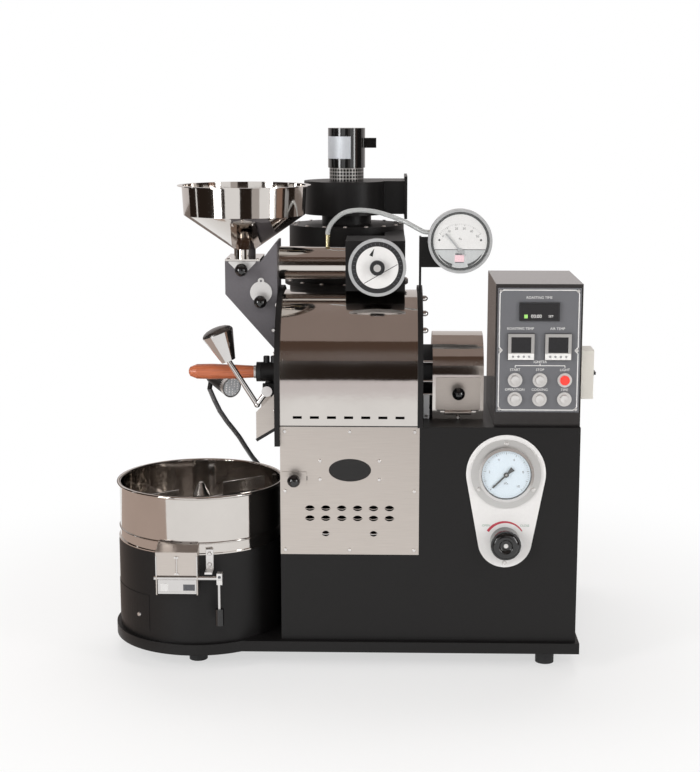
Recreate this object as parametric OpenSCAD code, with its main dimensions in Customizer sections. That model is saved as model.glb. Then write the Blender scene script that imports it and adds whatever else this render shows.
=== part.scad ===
// Gas fired drum coffee roaster with cooling tray, cyclone and blower.
// Millimetres. x runs right from cabinet's left wall, y runs back from
// cabinet's front and z runs up from floor.

/* [Cabinet] */
// Black cabinet width
cab_w = 565; // [500:650]
// Cabinet depth
cab_d = 560; // [500:640]
// Cabinet above base
cab_h = 420; // [380:480]
// Cabinet sheet thickness
cab_t = 2; // [1:0.5:3]

/* [Base] */
// Rubber feet height
foot_h = 36; // [20:60]
// Rubber feet diameter
foot_d = 36; // [24:50]
// Feet from base edges
foot_inset = 60; // [40:90]
// Folded base pan depth
base_h = 21; // [15:40]
// Base pan sheet thickness
base_t = 3; // [2:0.5:5]
// Overhang of base past right and rear walls
base_lip = 7; // [3:15]
// Overhang of base past cabinet front
base_front = 12; // [4:25]
// Overhang of base round cooling tower
base_ring = 8.5; // [4:0.5:15]

/* [Front panel] */
// Steel front panel width
panel_w = 263; // [240:290]
// Front panel height
panel_h = 248.5; // [220:0.5:280]
// Front panel thickness
panel_t = 1.5; // [1:0.5:3]
// Border of panel that covers cabinet front
panel_border = 8; // [6:11]
// Oval flame window width
window_w = 80; // [50:110]
// Oval flame window height
window_h = 44; // [25:60]
// Window's centre from panel's left edge
window_x = 132; // [115:150]
// Window's centre below panel top
window_drop = 83.5; // [70:0.5:100]
// Window glass thickness
glass_t = 3; // [2:0.5:5]
// Glass border width behind panel
glass_lap = 7; // [4:12]
// Air vent width
vent_w = 19; // [12:24]
// Air vent height
vent_h = 11; // [6:14]
// Vents in a row
vent_n = 6; // [3:7]
// Vents spacing
vent_pitch = 30.2; // [26:0.2:34]
// Upper vent row below panel top
vent_drop = 157.7; // [150:0.1:170]
// Distance between vent rows
vent_row = 19.7; // [16:0.1:24]
// Peep hole width
peep_w = 15; // [8:20]
// Peep hole height
peep_h = 11; // [6:14]
// Distance between peep holes
peep_pitch = 91; // [60:120]
// Peep holes below panel top
peep_drop = 207.5; // [200:0.5:220]
// Air shutter plate width
shut_w = 47; // [40:52]
// Air shutter plate height
shut_h = 25; // [20:32]
// Air shutter plate thickness
shut_t = 1.5; // [1:0.5:3]
// Left edge of shutter on panel
shut_x = 3; // [2:8]
// Shutter's centre below panel top
shut_drop = 99.5; // [95:0.5:115]
// Air shutter travel
shut_travel = 20; // [10:22]
// Place of shutter knob on its plate
shut_knob_x = 24; // [20:30]
// Shutter stem radius
shut_stem_r = 4; // [3:0.5:5]
// Diameter of air hole behind shutter
air_hole_d = 12; // [6:14]

/* [Roasting drum] */
// Drum axis above cabinet top
drum_rise = 83; // [78:95]
// Drum outer radius
drum_r = 118; // [105:124]
// Drum wall
drum_t = 3; // [2:0.5:5]
// Gap behind drum
drum_tail = 9; // [6:14]
// Gap between front end plate and drum
drum_gap = 10; // [6:14]
// Opening radius of drum's front lip
lip_r = 100; // [95:104]
// Number of mixing flights
flight_n = 4; // [2:8]
// Mixing flights height
flight_h = 18; // [10:20]
// Flights and spider arms thickness
flight_t = 3; // [2:0.5:5]
// Spider from drum front
spider_x = 100; // [90:150]
// Spider arms
spider_n = 3; // [3:6]
// Drum hubs radius
hub_r = 24; // [20:32]
// Drum shaft radius
shaft_r = 12; // [9:0.5:15]
// Polished drum cover outer radius
cover_r = 157; // [150:165]
// Covers sheet thickness
cover_t = 1.5; // [1:0.5:2.5]
// Drum cover length
cover_l = 259; // [258:280]
// Slots along cover's front
slot_n = 7; // [3:8]
// Cover slot width
slot_w = 17; // [10:20]
// Cover slot height
slot_h = 5; // [3:8]
// Cover slots spacing
slot_pitch = 32.2; // [28:0.2:34]
// Slots above cabinet top
slot_rise = 17.5; // [12:0.5:30]
// End plates thickness
plate_t = 10; // [8:14]
// End plates above cover
plate_over = 9; // [4:12]
// Front end plate below cabinet top
plate_drop = 37; // [30:60]
// Bottom of bean inlet above drum axis
inlet_rise = 46; // [42:52]
// Bean inlet height
inlet_h = 50; // [30:54]
// Bean inlet width
inlet_w = 84; // [60:100]
// Front bearing flange radius
bearing_r = 28; // [24:32]
// Front bearing flange thickness
bearing_t = 8; // [6:10]
// Rear pillow bearing length
pillow_l = 20; // [16:22]
// Rear bearing housing radius
pillow_r = 50; // [40:55]

/* [Drum drive] */
// Polished gear cover radius
gear_r = 76; // [70:82]
// Gear cover length
gear_l = 98; // [90:105]
// Gear cover's service opening height
hatch_h = 62; // [40:66]
// Bottom of service opening above cabinet top
hatch_rise = 16; // [14:20]
// Service door width
hatch_w = 86; // [70:90]
// Overlap of service door over its opening
hatch_lap = 3; // [2:0.5:5]
// Door's hinge pin radius
pin_r = 2; // [1.5:0.5:3]
// Hinge knuckles radius
knuckle_r = 4; // [3.5:0.5:5]
// Length of hinge knuckle on door
knuckle_l = 50; // [30:60]
// Door knob above hinge
hatch_knob_rise = 40; // [36:48]
// Drum gear motor length
motor_l = 84; // [60:88]
// Drum gear motor radius
motor_r = 55; // [45:65]
// Shaft end length in gear motor
motor_grip = 30; // [15:40]

/* [Cooling tray] */
// Gap between tray rim and cabinet wall
tray_gap = 1; // [0.5:0.5:10]
// Centre of tray behind cabinet front
tray_y = 134; // [120:150]
// Cooling tower outer radius
tower_r = 163.5; // [150:0.5:175]
// Cooling tower height
tower_h = 176; // [160:200]
// Tower and bowl sheet thickness
tower_t = 2; // [1.5:0.5:4]
// Step between tower and bowl wall
bowl_step = 3; // [2:0.5:5]
// Bowl height
bowl_h = 113; // [95:130]
// Rolled bowl rim radius
rim_r = 3; // [2:0.5:4]
// Bead above bowl's foot
bead_rise = 22; // [10:26]
// Bead radius
bead_r = 2; // [1:0.5:3]
// Width of ledge that carries screen
ledge_w = 12; // [8:20]
// Perforated screen thickness
screen_t = 2; // [1:0.5:3]
// Screen holes diameter
screen_hole_d = 5; // [3:0.5:7]
// Rings of holes in screen
screen_rings = 6; // [3:7]
// Hole rings spacing
screen_pitch = 20; // [16:21]
// Agitator hub radius
stir_hub_r = 17; // [14:0.5:20]
// Agitator hub height
stir_hub_h = 70; // [50:80]
// Height of cone on hub
stir_cone_h = 24; // [15:30]
// Agitator shaft radius
stir_shaft_r = 9; // [7:0.5:11]
// Agitator arms reach
stir_reach = 150; // [130:153]
// Direction of paddle arm
stir_turn = 38; // [0:180]
// Agitator arms radius
stir_arm_r = 5; // [4:0.5:7]
// Arms above screen
stir_arm_rise = 60; // [40:64]
// Paddle plates height
stir_paddle_h = 86; // [60:92]
// Paddle plates thickness
stir_paddle_t = 3; // [2:0.5:5]
// Space between paddles and screen
stir_float = 4; // [2:0.5:10]
// Agitator gear motor radius
stir_motor_r = 45; // [35:60]
// Agitator gear motor height
stir_motor_h = 120; // [90:140]

/* [Cooling gate] */
// Outlet chute width
gate_w = 79; // [60:95]
// Offset of chute's centre from tray centre
gate_x = -25; // [-40:-15]
// Chute reach in front of cabinet line
gate_reach = 60; // [50:75]
// Chute sheet thickness
gate_t = 2; // [1.5:0.5:3]
// Opening height in bowl wall
gate_open_h = 24; // [15:28]
// Drop of hood toward front
gate_hood_drop = 14; // [6:18]
// Chute's mouth above base
gate_mouth_rise = 107; // [95:120]
// Flap shaft above mouth
gate_shaft_rise = 32; // [26:38]
// Flap shaft radius
gate_shaft_r = 4; // [3:0.5:5]
// Flap shaft distance behind chute front
gate_shaft_y = 5; // [4.5:0.5:8]
// Shaft length right of chute
gate_stub = 46; // [35:60]
// Gate lever length
gate_lever_l = 60; // [45:75]
// Gate grip length
gate_grip_l = 32; // [25:45]
// Gate grip radius
gate_grip_r = 8; // [6:0.5:9]
// Opening angle of gate
gate_angle = 70; // [40:80]

/* [Bean path] */
// Width of bean chute across drum axis
chute_w = 114; // [104:124]
// Bean chute reach from end plate
chute_l = 100; // [90:112]
// Chute's upright part height
chute_side_h = 61; // [50:70]
// Top of chute above drum axis
chute_top = 216; // [206:230]
// Chute's peak above its top
chute_peak = 37; // [33:45]
// Chute sheet thickness
chute_t = 2; // [1.5:0.5:3]
// Sill at chute's foot and peak width
chute_sill = 4; // [3:0.5:6]
// Length of hopper flange along chute
flange_l = 67; // [60:72]
// Hopper flange thickness
flange_t = 3.3; // [2.5:0.1:5]
// Gate plate width
slide_w = 52; // [48:56]
// Gate plate thickness
slide_t = 2.4; // [1.5:0.1:3]
// Gate plate travel
slide_travel = 48; // [44:52]
// V shaped pull tab height
slide_tab_h = 24; // [18:28]
// Hopper rim radius
hopper_r = 129; // [110:140]
// Hopper rim band height
hopper_band_h = 57; // [40:70]
// Radius at foot of band
hopper_foot_r = 117.5; // [95:0.5:125]
// Hopper brim width
brim_w = 8.5; // [4:0.5:12]
// Hopper cone height
hopper_cone_h = 44; // [35:60]
// Hopper neck outer radius
neck_r = 21; // [16:0.5:23]
// Hopper neck height
neck_h = 41; // [30:50]
// Hopper sheet thickness
hopper_t = 1.5; // [1:0.5:3]
// Glossy ball knobs diameter
knob_d = 25; // [18:26]
// Knob necks diameter
knob_neck_d = 10; // [6:12]
// Knob necks length
knob_neck_l = 8; // [5:12]
// Sight glass hole radius
sight_r = 15; // [10:17]
// Sight cover radius
sight_cover_r = 21; // [18:22]
// Sight cover thickness
sight_t = 2.5; // [2:0.5:3]
// Distance from sight hole to cover's pivot
sight_arm = 22; // [20:24]
// Sight hole from mouth side
sight_x = 31; // [28:34]
// Sight hole below chute top
sight_drop = 57; // [52:62]
// Sight cover swing
sight_angle = 60; // [30:60]

/* [Discharge] */
// Discharge opening width
exit_w = 90; // [70:94]
// Discharge opening height
exit_h = 60; // [40:62]
// Opening's foot below drum axis
exit_drop = 98; // [90:104]
// Discharge door thickness
door_t = 3; // [2:0.5:5]
// Overlap of door over its opening
door_lap = 6; // [4:0.5:8]
// Gap between closed door and end plate
door_gap = 1; // [0.3:0.1:2]
// Drop of door shaft below drum axis
door_shaft_drop = 21; // [19:24]
// Door shaft reach from end plate
door_shaft_x = 16; // [14:20]
// Door shaft radius
door_shaft_r = 5; // [4:0.5:6]
// Opening angle of door
door_angle = 32; // [15:32]
// Lever's plane behind cabinet front
lever_y = 30; // [27:36]
// Elbow left of door shaft
elbow_out = 19; // [12:24]
// Elbow below door shaft
elbow_drop = 26; // [18:30]
// Weight's neck left of door shaft
neck_out = 72; // [60:80]
// Weight's neck above door shaft
neck_rise = 58; // [50:65]
// Weight's tip left of door shaft
tip_out = 92; // [82:100]
// Weight's tip above door shaft
tip_rise = 110; // [95:120]
// Lever rod radius
lever_r = 5; // [4:0.5:6]
// Lever hub radius
lever_hub_r = 10; // [8:0.5:12]
// Small radius of counterweight
weight_r1 = 13.5; // [10:0.5:18]
// Large radius of counterweight
weight_r2 = 30.5; // [24:0.5:31]
// Shaft lugs width
lug_w = 10; // [8:14]
// Discharge trough length
trough_l = 43; // [35:50]
// Trough sheet thickness
trough_t = 2; // [1.5:0.5:3]
// Drop of trough floor
trough_fall = 26; // [15:35]

/* [Tryer] */
// Tryer distance in front of drum axis
tryer_front = 67; // [63:70]
// Rise of tryer above drum axis
tryer_rise = 6; // [5:10]
// Tryer boss outer radius
boss_r = 19; // [17:0.5:20]
// Tryer boss length
boss_l = 32; // [24:40]
// Turning bush radius
bush_r = 14; // [12:0.5:15]
// Bush flange thickness
bush_flange = 8; // [5:10]
// Tryer scoop radius
scoop_r = 9; // [7:0.5:10]
// Scoop wall
scoop_t = 1.5; // [1:0.5:2.5]
// Reach of scoop into drum
scoop_reach = 85; // [60:88]
// Wooden handle radius
handle_r = 15; // [12:0.5:18]
// Wooden handle length
handle_l = 130; // [100:150]
// Tryer travel
tryer_travel = 120; // [60:125]

/* [Lamp] */
// Lamp lens radius
lamp_r = 21; // [16:24]
// Rear radius of lamp head
lamp_neck_r = 12; // [9:14]
// Gooseneck radius
goose_r = 5; // [4:0.5:6]
// Lamp's wall bracket thickness
bracket_t = 4; // [3:0.5:6]
// Lamp's wall bracket size
bracket_w = 50; // [40:70]

/* [Exhaust] */
// Exhaust pipe outer radius
pipe_r = 32; // [26:34]
// Exhaust pipe wall
pipe_t = 1.5; // [1:0.5:2.5]
// Exhaust pipe length
pipe_l = 131; // [122:140]
// Pipe axis above drum axis
pipe_rise = 210; // [206:214]
// Dial axis right of pipe's end
dial_off = 61; // [56:65]
// Damper body depth
damper_d = 120; // [110:130]
// Damper body height
damper_h = 96; // [86:104]
// Damper bore radius
damper_bore = 30.5; // [26:0.5:34]
// Edge clearance of damper disc
damper_edge = 0.8; // [0.5:0.1:2]
// Damper disc thickness
damper_disc_t = 2; // [1.5:0.5:3]
// Damper shaft radius
damper_shaft_r = 5; // [4:0.5:6]
// Damper dial radius
dial_r = 55; // [45:58]
// Damper dial thickness
dial_t = 8; // [5:12]
// Dial boss length
dial_boss_l = 19; // [12:24]
// Dial's hub radius
dial_hub_r = 14; // [10:18]
// Dial's hub depth
dial_hub_l = 12; // [8:16]
// Turn of damper
damper_angle = 90; // [60:90]

/* [Cyclone and blower] */
// Cyclone outer radius
cyc_r = 121; // [110:126]
// Centre of cyclone from cabinet's left wall
cyc_x = 114; // [105:125]
// Centre of cyclone behind drum axis
cyc_back = 279; // [279:284]
// Chaff bin height
bin_h = 227; // [205:235]
// Cyclone above bin
cyc_h = 121; // [116:130]
// Cyclone sheet thickness
cyc_t = 2; // [1.5:0.5:3]
// Width of flanges between bin and cyclone
cyc_rim = 10; // [6:10]
// Flange thickness
cyc_rim_t = 4; // [3:0.5:6]
// Inlet duct width
duct_w = 40; // [30:46]
// Inlet duct height
duct_h = 90; // [80:92]
// Radius of outlet neck on cyclone
outlet_r = 52; // [40:60]
// Outlet neck height
outlet_h = 21; // [16:30]
// First radius of blower scroll
scroll_r = 80; // [76:84]
// Growth of scroll in each quarter turn
scroll_step = 10; // [6:12]
// Blower scroll height
scroll_h = 69; // [60:80]
// Blower scroll sheet thickness
scroll_t = 2; // [1.5:0.5:3]
// Blower outlet width
port_w = 121; // [110:124]
// Blower outlet reach from scroll's axis
port_l = 122; // [112:130]
// Border of outlet flange
port_rim = 10; // [9:14]
// Outlet flange thickness
port_t = 6; // [4:8]
// Flange bolt holes radius
port_hole_r = 3; // [2:0.5:4]
// Blower impeller radius
fan_r = 68; // [55:70]
// Impeller blades height
fan_h = 48; // [35:50]
// Impeller blades
fan_n = 10; // [6:16]
// Impeller blades thickness
fan_t = 2; // [1.5:0.5:3]
// Blower shaft radius
fan_shaft_r = 6; // [5:0.5:8]
// Impeller hub radius
fan_hub_r = 16; // [12:20]
// Height of guard under blower motor
guard_h = 28; // [20:40]
// Guard radius
guard_r = 36; // [30:38]
// Blower motor radius
fan_motor_r = 39; // [36:46]
// Blower motor height
fan_motor_h = 82; // [70:95]

/* [Control box] */
// Control box width
box_w = 162; // [150:164]
// Gap between gear cover and box
box_gap = 16; // [12:20]
// Control box height
box_h = 269; // [250:290]
// Control box depth
box_d = 235; // [200:260]
// Setback of control box from cabinet front
box_y = 15; // [10:25]
// Control box sheet thickness
box_t = 2; // [1:0.5:3]
// Border of box round control panel
face_border = 3.5; // [2:0.5:6]
// Height of lower lip under control panel
face_lip = 27.5; // [20:0.5:34]
// Control panel thickness
face_t = 2; // [1.5:0.5:3]
// Timer width
timer_w = 74.8; // [60:0.2:80]
// Timer height
timer_h = 34.3; // [28:0.1:38]
// Timer's centre below panel top
timer_drop = 44; // [38:48]
// Outside size of a temperature controller
meter_w = 50; // [46:0.5:52]
// Distance between controllers
meter_pitch = 69; // [62:0.5:74]
// Controllers below panel top
meter_drop = 110; // [104:114]
// Instrument frame height
meter_t = 5; // [3:0.5:8]
// Instruments depth behind panel
meter_d = 70; // [50:90]
// Instrument frame border
meter_lap = 2.5; // [2:0.5:4]
// Button columns spacing
button_pitch = 46.4; // [40:0.2:50]
// Offset of buttons from panel's middle
button_shift = 3.4; // [0:0.2:6]
// Offset of controllers from panel's middle
meter_shift = 1.6; // [0:0.2:4]
// Upper buttons below panel top
button_drop = 173; // [168:178]
// Distance between button rows
button_row = 36.3; // [34:0.1:38]
// Button bezels radius
bezel_r = 13.5; // [12:0.5:16]
// Button bezels height
bezel_h = 4; // [3:0.5:6]
// Button barrels radius
barrel_r = 11; // [10.5:0.5:11.5]
// Button barrels length behind panel
barrel_l = 32; // [24:40]
// Button caps radius
cap_r = 9; // [7:0.5:9.5]
// Button cap length
cap_h = 3.5; // [3.2:0.1:6]
// Push buttons travel
button_travel = 3; // [2:0.5:3]
// Width of breaker on box side
breaker_w = 29; // [22:32]
// Breaker depth
breaker_d = 55; // [40:70]
// Breaker height
breaker_h = 94; // [80:100]
// Breaker behind box front
breaker_y = 45; // [40:60]
// Breaker above cabinet top
breaker_rise = 44; // [30:60]
// Breaker toggle reach
toggle_l = 6; // [4:10]
// Toggle's barrel radius
toggle_r = 11; // [9:13]
// Toggle's lever thickness
toggle_t = 5; // [3:0.5:6]
// Toggle swing
toggle_angle = 30; // [15:35]

/* [Gas gauge] */
// Centre of gas gauge from cabinet's left wall
gas_x = 426.5; // [410:0.5:450]
// Gauge below cabinet top
gas_drop = 89; // [80:100]
// Gas knob below gauge
gas_pitch = 131.5; // [126:0.5:140]
// Large radius of gauge plate
gas_plate_r = 75; // [70:80]
// Small radius of gauge plate
gas_plate_r2 = 51; // [45:56]
// Gauge plate thickness
gas_plate_t = 2; // [1.5:0.5:3]
// Gauge flange radius
gas_flange_r = 66; // [60:68]
// Gauge flange thickness
gas_flange_t = 3; // [2:0.5:5]
// Gauge bezel radius
gas_bezel_r = 52; // [46:56]
// Gauge bezel depth
gas_bezel_h = 9; // [8:0.5:14]
// Gauge bezels wall
bezel_t = 5; // [3:0.5:6]
// Dial depth behind bezel front
dial_depth = 7; // [6.5:0.5:7.5]
// Gauge glasses thickness
lens_t = 1.5; // [1:0.5:2]
// Needle pins radius
needle_pin_r = 2; // [1.5:0.5:3]
// Needle hubs radius
needle_hub_r = 5; // [4:0.5:7]
// Needles thickness
needle_t = 1.5; // [1:0.5:2]
// Gas needle length
gas_needle_l = 36; // [25:40]
// Needles width
needle_w = 3; // [2:0.5:4]
// Gas knob radius
gas_knob_r = 28.5; // [22:0.5:34]
// Gas knob depth
gas_knob_h = 28; // [18:34]
// Gap between gas knob and its plate
gas_knob_gap = 2; // [1:0.5:4]
// Gas valve stem radius
valve_stem_r = 5; // [4:0.5:7]
// Brass valve body size
valve_w = 40; // [30:50]
// Brass valve body depth
valve_d = 45; // [35:60]

/* [Pressure gauge and hose] */
// Pressure gauge bezel radius
dp_r = 60.3; // [55:0.1:62]
// Pressure gauge bezel depth
dp_bezel_h = 24; // [18:30]
// Pressure gauge case radius
dp_case_r = 50; // [45:54]
// Pressure gauge case depth
dp_case_h = 28; // [22:36]
// Gauge right of end plate
dp_off = 68.5; // [66:0.5:80]
// Gauge above drum axis
dp_rise = 261; // [252:266]
// Front of gauge behind cabinet front
dp_y = 56; // [48:62]
// Pressure needle length
dp_needle_l = 42; // [30:44]
// Drop of needle's pin below gauge centre
dp_pin_drop = 18; // [12:22]
// Pressure needle swing
dp_angle = 80; // [40:90]
// Gauge's support strip thickness
strip_t = 4; // [3:0.5:6]
// Gauge's support strip width
strip_w = 30; // [24:40]
// Bent tab height behind gauge
tab_h = 58; // [46:62]
// Pressure hose radius
hose_r = 4.5; // [3.5:0.5:5]
// Height of brass barb on pipe
barb_h = 23; // [18:30]
// Length of barb on gauge case
barb_l = 8; // [5:12]
// Pipe's barb right of end plate
barb_x = 85; // [70:100]

/* [Burner] */
// Burner tubes
burner_n = 3; // [2:4]
// Burner tubes radius
burner_r = 12; // [9:15]
// Burner tubes wall
burner_t = 2; // [1.5:0.5:3]
// Burner tubes spacing
burner_pitch = 57; // [40:62]
// Burner below cabinet top
burner_drop = 80; // [70:100]
// Burner tubes length
burner_l = 230; // [180:240]

/* [Clearances] */
// Radial clearance of turning shafts
fit_turn = 0.05; // [0.02:0.01:0.1]
// Radial clearance of fixed fits
fit_fixed = 0.02; // [0.01:0.01:0.05]
// Clearance of sliding plates
fit_slide = 0.3; // [0.2:0.05:0.6]
// Side play between hinge parts
fit_side = 1; // [0.5:0.1:2]

/* [Hidden] */
$fn = 64;
// Overshoot of cutting tools
cut = 1;
// Points on the oval window's edge
oval_n = 60;
// Sides of the swept hose and gooseneck
tube_n = 12;

BLACK = "#2b2a2b";
STEEL = "#b8b0aa";
MIRROR = "#a9a29c";
GREY = "#6b696d";
WOOD = "#c8694a";
BRASS = "#b99a4a";
WHITE = "#e6e4e4";
RED = "#e0403a";
IVORY = "#e6e3d6";
CLEAR = "#c9d8dc";

// Levels and lines that the pieces share
cab_z = foot_h + base_h;
top_z = cab_z + cab_h;
drum_y = cover_r;
drum_z = top_z + drum_rise;
drum_end = cover_l - drum_tail;
panel_z = top_z - panel_h;
plate_r = cover_r + plate_over;
rear_x = cover_l + plate_t;
gear_x = rear_x + pillow_l;
gear_y = drum_y - gear_r;
gear_mid = gear_x + gear_l / 2;
pit_half = sqrt(drum_r * drum_r - drum_rise * drum_rise) + drum_gap;
shut_z = top_z - shut_drop;
shut_stem_x = shut_x + shut_knob_x;

// Service door hinge
hatch_z = top_z + hatch_rise;
hatch_pin_y = gear_y - knuckle_r - fit_slide;
hatch_pin_z = hatch_z - hatch_lap;
hatch_foot = hatch_pin_z + knuckle_r + fit_side;

// Cooling tray
bowl_r = tower_r - bowl_step;
bowl_z = cab_z + tower_h;
tray_x = -(bowl_r + 2 * rim_r + tray_gap);
base_r = tower_r + base_ring;
screen_z = bowl_z + tower_t;
screen_top = screen_z + screen_t;
stir_z = screen_top + stir_float;
stir_foot = cab_z + stir_motor_h / 2;

// Cooling gate
gate_x0 = tray_x + gate_x - gate_w / 2;
gate_x1 = gate_x0 + gate_w;
gate_top = screen_top + gate_open_h;
gate_mouth = cab_z + gate_mouth_rise;
gate_y = gate_shaft_y - gate_reach;
gate_z = gate_mouth + gate_shaft_rise;
gate_end = gate_x1 + gate_stub;

// Bean chute and hopper
chute_x = -plate_t - chute_l;
chute_y0 = drum_y - chute_w / 2;
chute_y1 = drum_y + chute_w / 2;
chute_z = drum_z + chute_top;
chute_elbow = chute_z - chute_side_h;
inlet_z = drum_z + inlet_rise;
flange_x = chute_x + flange_l;
flange_z = chute_z + slide_t + fit_slide;
hopper_x = chute_x + flange_l / 2;
neck_z = flange_z + neck_h;
band_z = neck_z + hopper_cone_h;
brim_z = band_z + hopper_band_h;
slide_open = drum_y - neck_r + slide_travel;
sight_px = -plate_t - sight_x;
sight_pz = chute_z - sight_drop;

// Discharge door and its lever
door_x = -plate_t - door_shaft_x;
door_z = drum_z - door_shaft_drop;
exit_z = drum_z - exit_drop;
trough_half = exit_w / 2 + door_lap + lug_w;
front_lug_y = lever_y + 2 * lever_hub_r;
rear_lug_y = drum_y + trough_half + fit_side;
lever_elbow = [door_x - elbow_out, lever_y, door_z - elbow_drop];
lever_neck = [door_x - neck_out, lever_y, door_z + neck_rise];
lever_tip = [door_x - tip_out, lever_y, door_z + tip_rise];

// Tryer
tryer_y = drum_y - tryer_front;
tryer_z = drum_z + tryer_rise;
bush_x = -plate_t - boss_l - fit_slide;
handle_x = bush_x - bush_flange - fit_side;

// Work lamp
lamp_rear = [-152, 212, 534];
lamp_front = [-105, 150, 524];
bracket_y = 312;
bracket_z = 300;
goose_route = [
  lamp_rear,
  [-156, 208, 510],
  [-148, 215, 487],
  [-138, 226, 461],
  [-125, 240, 436],
  [-113, 254, 416],
  [-102, 268, 396],
  [-92, 282, 374],
  [-80, 296, 350],
  [-64, 307, 326],
  [-44, 312, 308],
  [-24, bracket_y, bracket_z],
  [-bracket_t, bracket_y, bracket_z]
];

// Exhaust pipe, damper, cyclone and blower
pipe_z = drum_z + pipe_rise;
damper_x0 = pipe_l - plate_t;
damper_mid = damper_x0 + dial_off;
damper_y0 = drum_y - damper_d / 2;
damper_y1 = drum_y + damper_d / 2;
dial_y = damper_y0 - dial_boss_l - fit_slide;
cyc_y = drum_y + cyc_back;
bin_top = top_z + bin_h;
cyc_top = bin_top + cyc_h;
duct_x1 = cyc_x + cyc_r;
duct_x0 = duct_x1 - duct_w;
scroll_z = cyc_top + outlet_h;
scroll_top = scroll_z + scroll_h;
scroll_rear = scroll_r + 3 * scroll_step;
port_y0 = cyc_y + scroll_rear - port_w;
port_y1 = cyc_y + scroll_rear;
port_x = cyc_x + port_l;
fan_z = scroll_z + (scroll_h - fan_h) / 2;
fan_motor_z = scroll_top + guard_h;

// Control box
box_x = gear_x + gear_l + box_gap;
box_end = box_x + box_w;
box_top = top_z + box_h;
face_x0 = box_x + face_border;
face_x1 = box_end - face_border;
face_z = top_z + face_lip;
face_top = box_top - 2 * face_border;
face_y = box_y - face_t;
face_mid = (face_x0 + face_x1) / 2;
button_mid = face_mid + button_shift;
meter_mid = face_mid + meter_shift;
row_a = face_top - button_drop;
row_b = row_a - button_row;
breaker_x = box_end + breaker_w;
toggle_x = breaker_x - toggle_r + toggle_l / 2;
toggle_y = box_y + breaker_y + breaker_d / 2;
toggle_z = top_z + breaker_rise + breaker_h / 2;

// Gauges and hose
gas_z = top_z - gas_drop;
gas_knob_z = gas_z - gas_pitch;
gas_front = -gas_plate_t - gas_flange_t - gas_bezel_h;
dp_x = rear_x + dp_off;
dp_z = drum_z + dp_rise;
dp_back = dp_y + dp_bezel_h + dp_case_h;
barb_top = pipe_z + pipe_r + barb_h;
dp_barb_x = dp_x - dp_case_r - barb_l;
dp_barb_y = dp_back - hose_r - fit_slide;
dp_barb_z = dp_z + 3 * hose_r;
hose_route = [
  [barb_x, drum_y, barb_top],
  [barb_x, drum_y, barb_top + 5],
  [88, 157, 839],
  [94, 156, 849],
  [103, 155, 858],
  [114, 153, 866],
  [128, 150, 871],
  [146, 147, 873],
  [165, 144, 872],
  [184, 140, 869],
  [202, 136, 864],
  [220, 130, 858],
  [238, 122, 851],
  [254, 112, 843],
  [268, 105, 836],
  [dp_barb_x - 4, dp_barb_y, dp_barb_z],
  [dp_barb_x, dp_barb_y, dp_barb_z]
];

// Whole object, centred on its footprint
x_min = tray_x - base_r;
x_max = max(breaker_x + toggle_l, cab_w + base_lip);
y_min = gate_y - gate_grip_r;
y_max = cab_d + base_lip;
middle = [(x_min + x_max) / 2, (y_min + y_max) / 2, 0];

module place() {
  translate(-middle) children();
}

// Box between two corners
module span(a, b) {
  translate(a) cube(b - a);
}

// Round bars along the three axes
module rod_x(r, x0, x1, y, z) {
  translate([x0, y, z]) rotate([0, 90, 0]) cylinder(r = r, h = x1 - x0);
}

module rod_y(r, y0, y1, x, z) {
  translate([x, y1, z]) rotate([90, 0, 0]) cylinder(r = r, h = y1 - y0);
}

module rod_z(r, z0, z1, x, y) {
  translate([x, y, z0]) cylinder(r = r, h = z1 - z0);
}

// Round bar or cone between two points
module rod_between(a, b, r1, r2) {
  d = b - a;
  len = norm(d);
  translate(a)
    rotate([0, acos(d.z / len), atan2(d.y, d.x)])
      cylinder(r1 = r1, r2 = r2, h = len);
}

// Flat shape drawn in x and z, between two depths
module front_sheet(y0, y1) {
  translate([0, y1, 0]) rotate([90, 0, 0]) linear_extrude(y1 - y0) children();
}

// Flat shape drawn in y and z, between two x places
module side_sheet(x0, x1) {
  translate([x0, 0, 0]) rotate([90, 0, 90]) linear_extrude(x1 - x0) children();
}

// Upright arch round the drum axis, standing on a level
module arch(x0, x1, r, foot) {
  side_sheet(x0, x1) translate([drum_y, drum_z]) {
    intersection() {
      circle(r);
      translate([-2 * r, 0]) square([4 * r, 2 * r]);
    }
    translate([-r, foot - drum_z]) square([2 * r, drum_z - foot]);
  }
}

// Ball knob on a neck that points to the front
module knob(x, y, z) {
  rod_y(knob_neck_d / 2, y - knob_neck_l - knob_d / 4, y, x, z);
  translate([x, y - knob_neck_l - knob_d / 2, z]) sphere(knob_d / 2);
}

// Round tube along a route
module sweep(route, r) {
  last = len(route) - 1;
  rings = [
    for (i = [0 : last])
      let (d = route[min(i + 1, last)] - route[max(i - 1, 0)])
      let (t = d / norm(d))
      let (s = cross(t, [0.3, 1, 0.2]))
      let (u = s / norm(s))
      let (v = cross(t, u))
      for (k = [0 : tube_n - 1])
        route[i] + r * (cos(360 * k / tube_n) * u + sin(360 * k / tube_n) * v)
  ];
  sides = [
    for (i = [0 : last - 1])
      for (k = [0 : tube_n - 1])
        let (n = (k + 1) % tube_n)
        [i * tube_n + k, (i + 1) * tube_n + k, (i + 1) * tube_n + n, i * tube_n + n]
  ];
  front = [[for (k = [0 : tube_n - 1]) k]];
  back = [[for (k = [tube_n - 1 : -1 : 0]) last * tube_n + k]];
  polyhedron(rings, concat(sides, front, back));
}

// Base, feet and cabinet

module base_outline(inset) {
  translate([tray_x, tray_y]) circle(base_r - inset);
  translate([tray_x, inset - base_front])
    square([-tray_x, 2 * (tray_y + base_front - inset)]);
  translate([inset - base_lip, inset - base_front])
    square([cab_w + 2 * (base_lip - inset), cab_d + base_front + base_lip - 2 * inset]);
}

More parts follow.
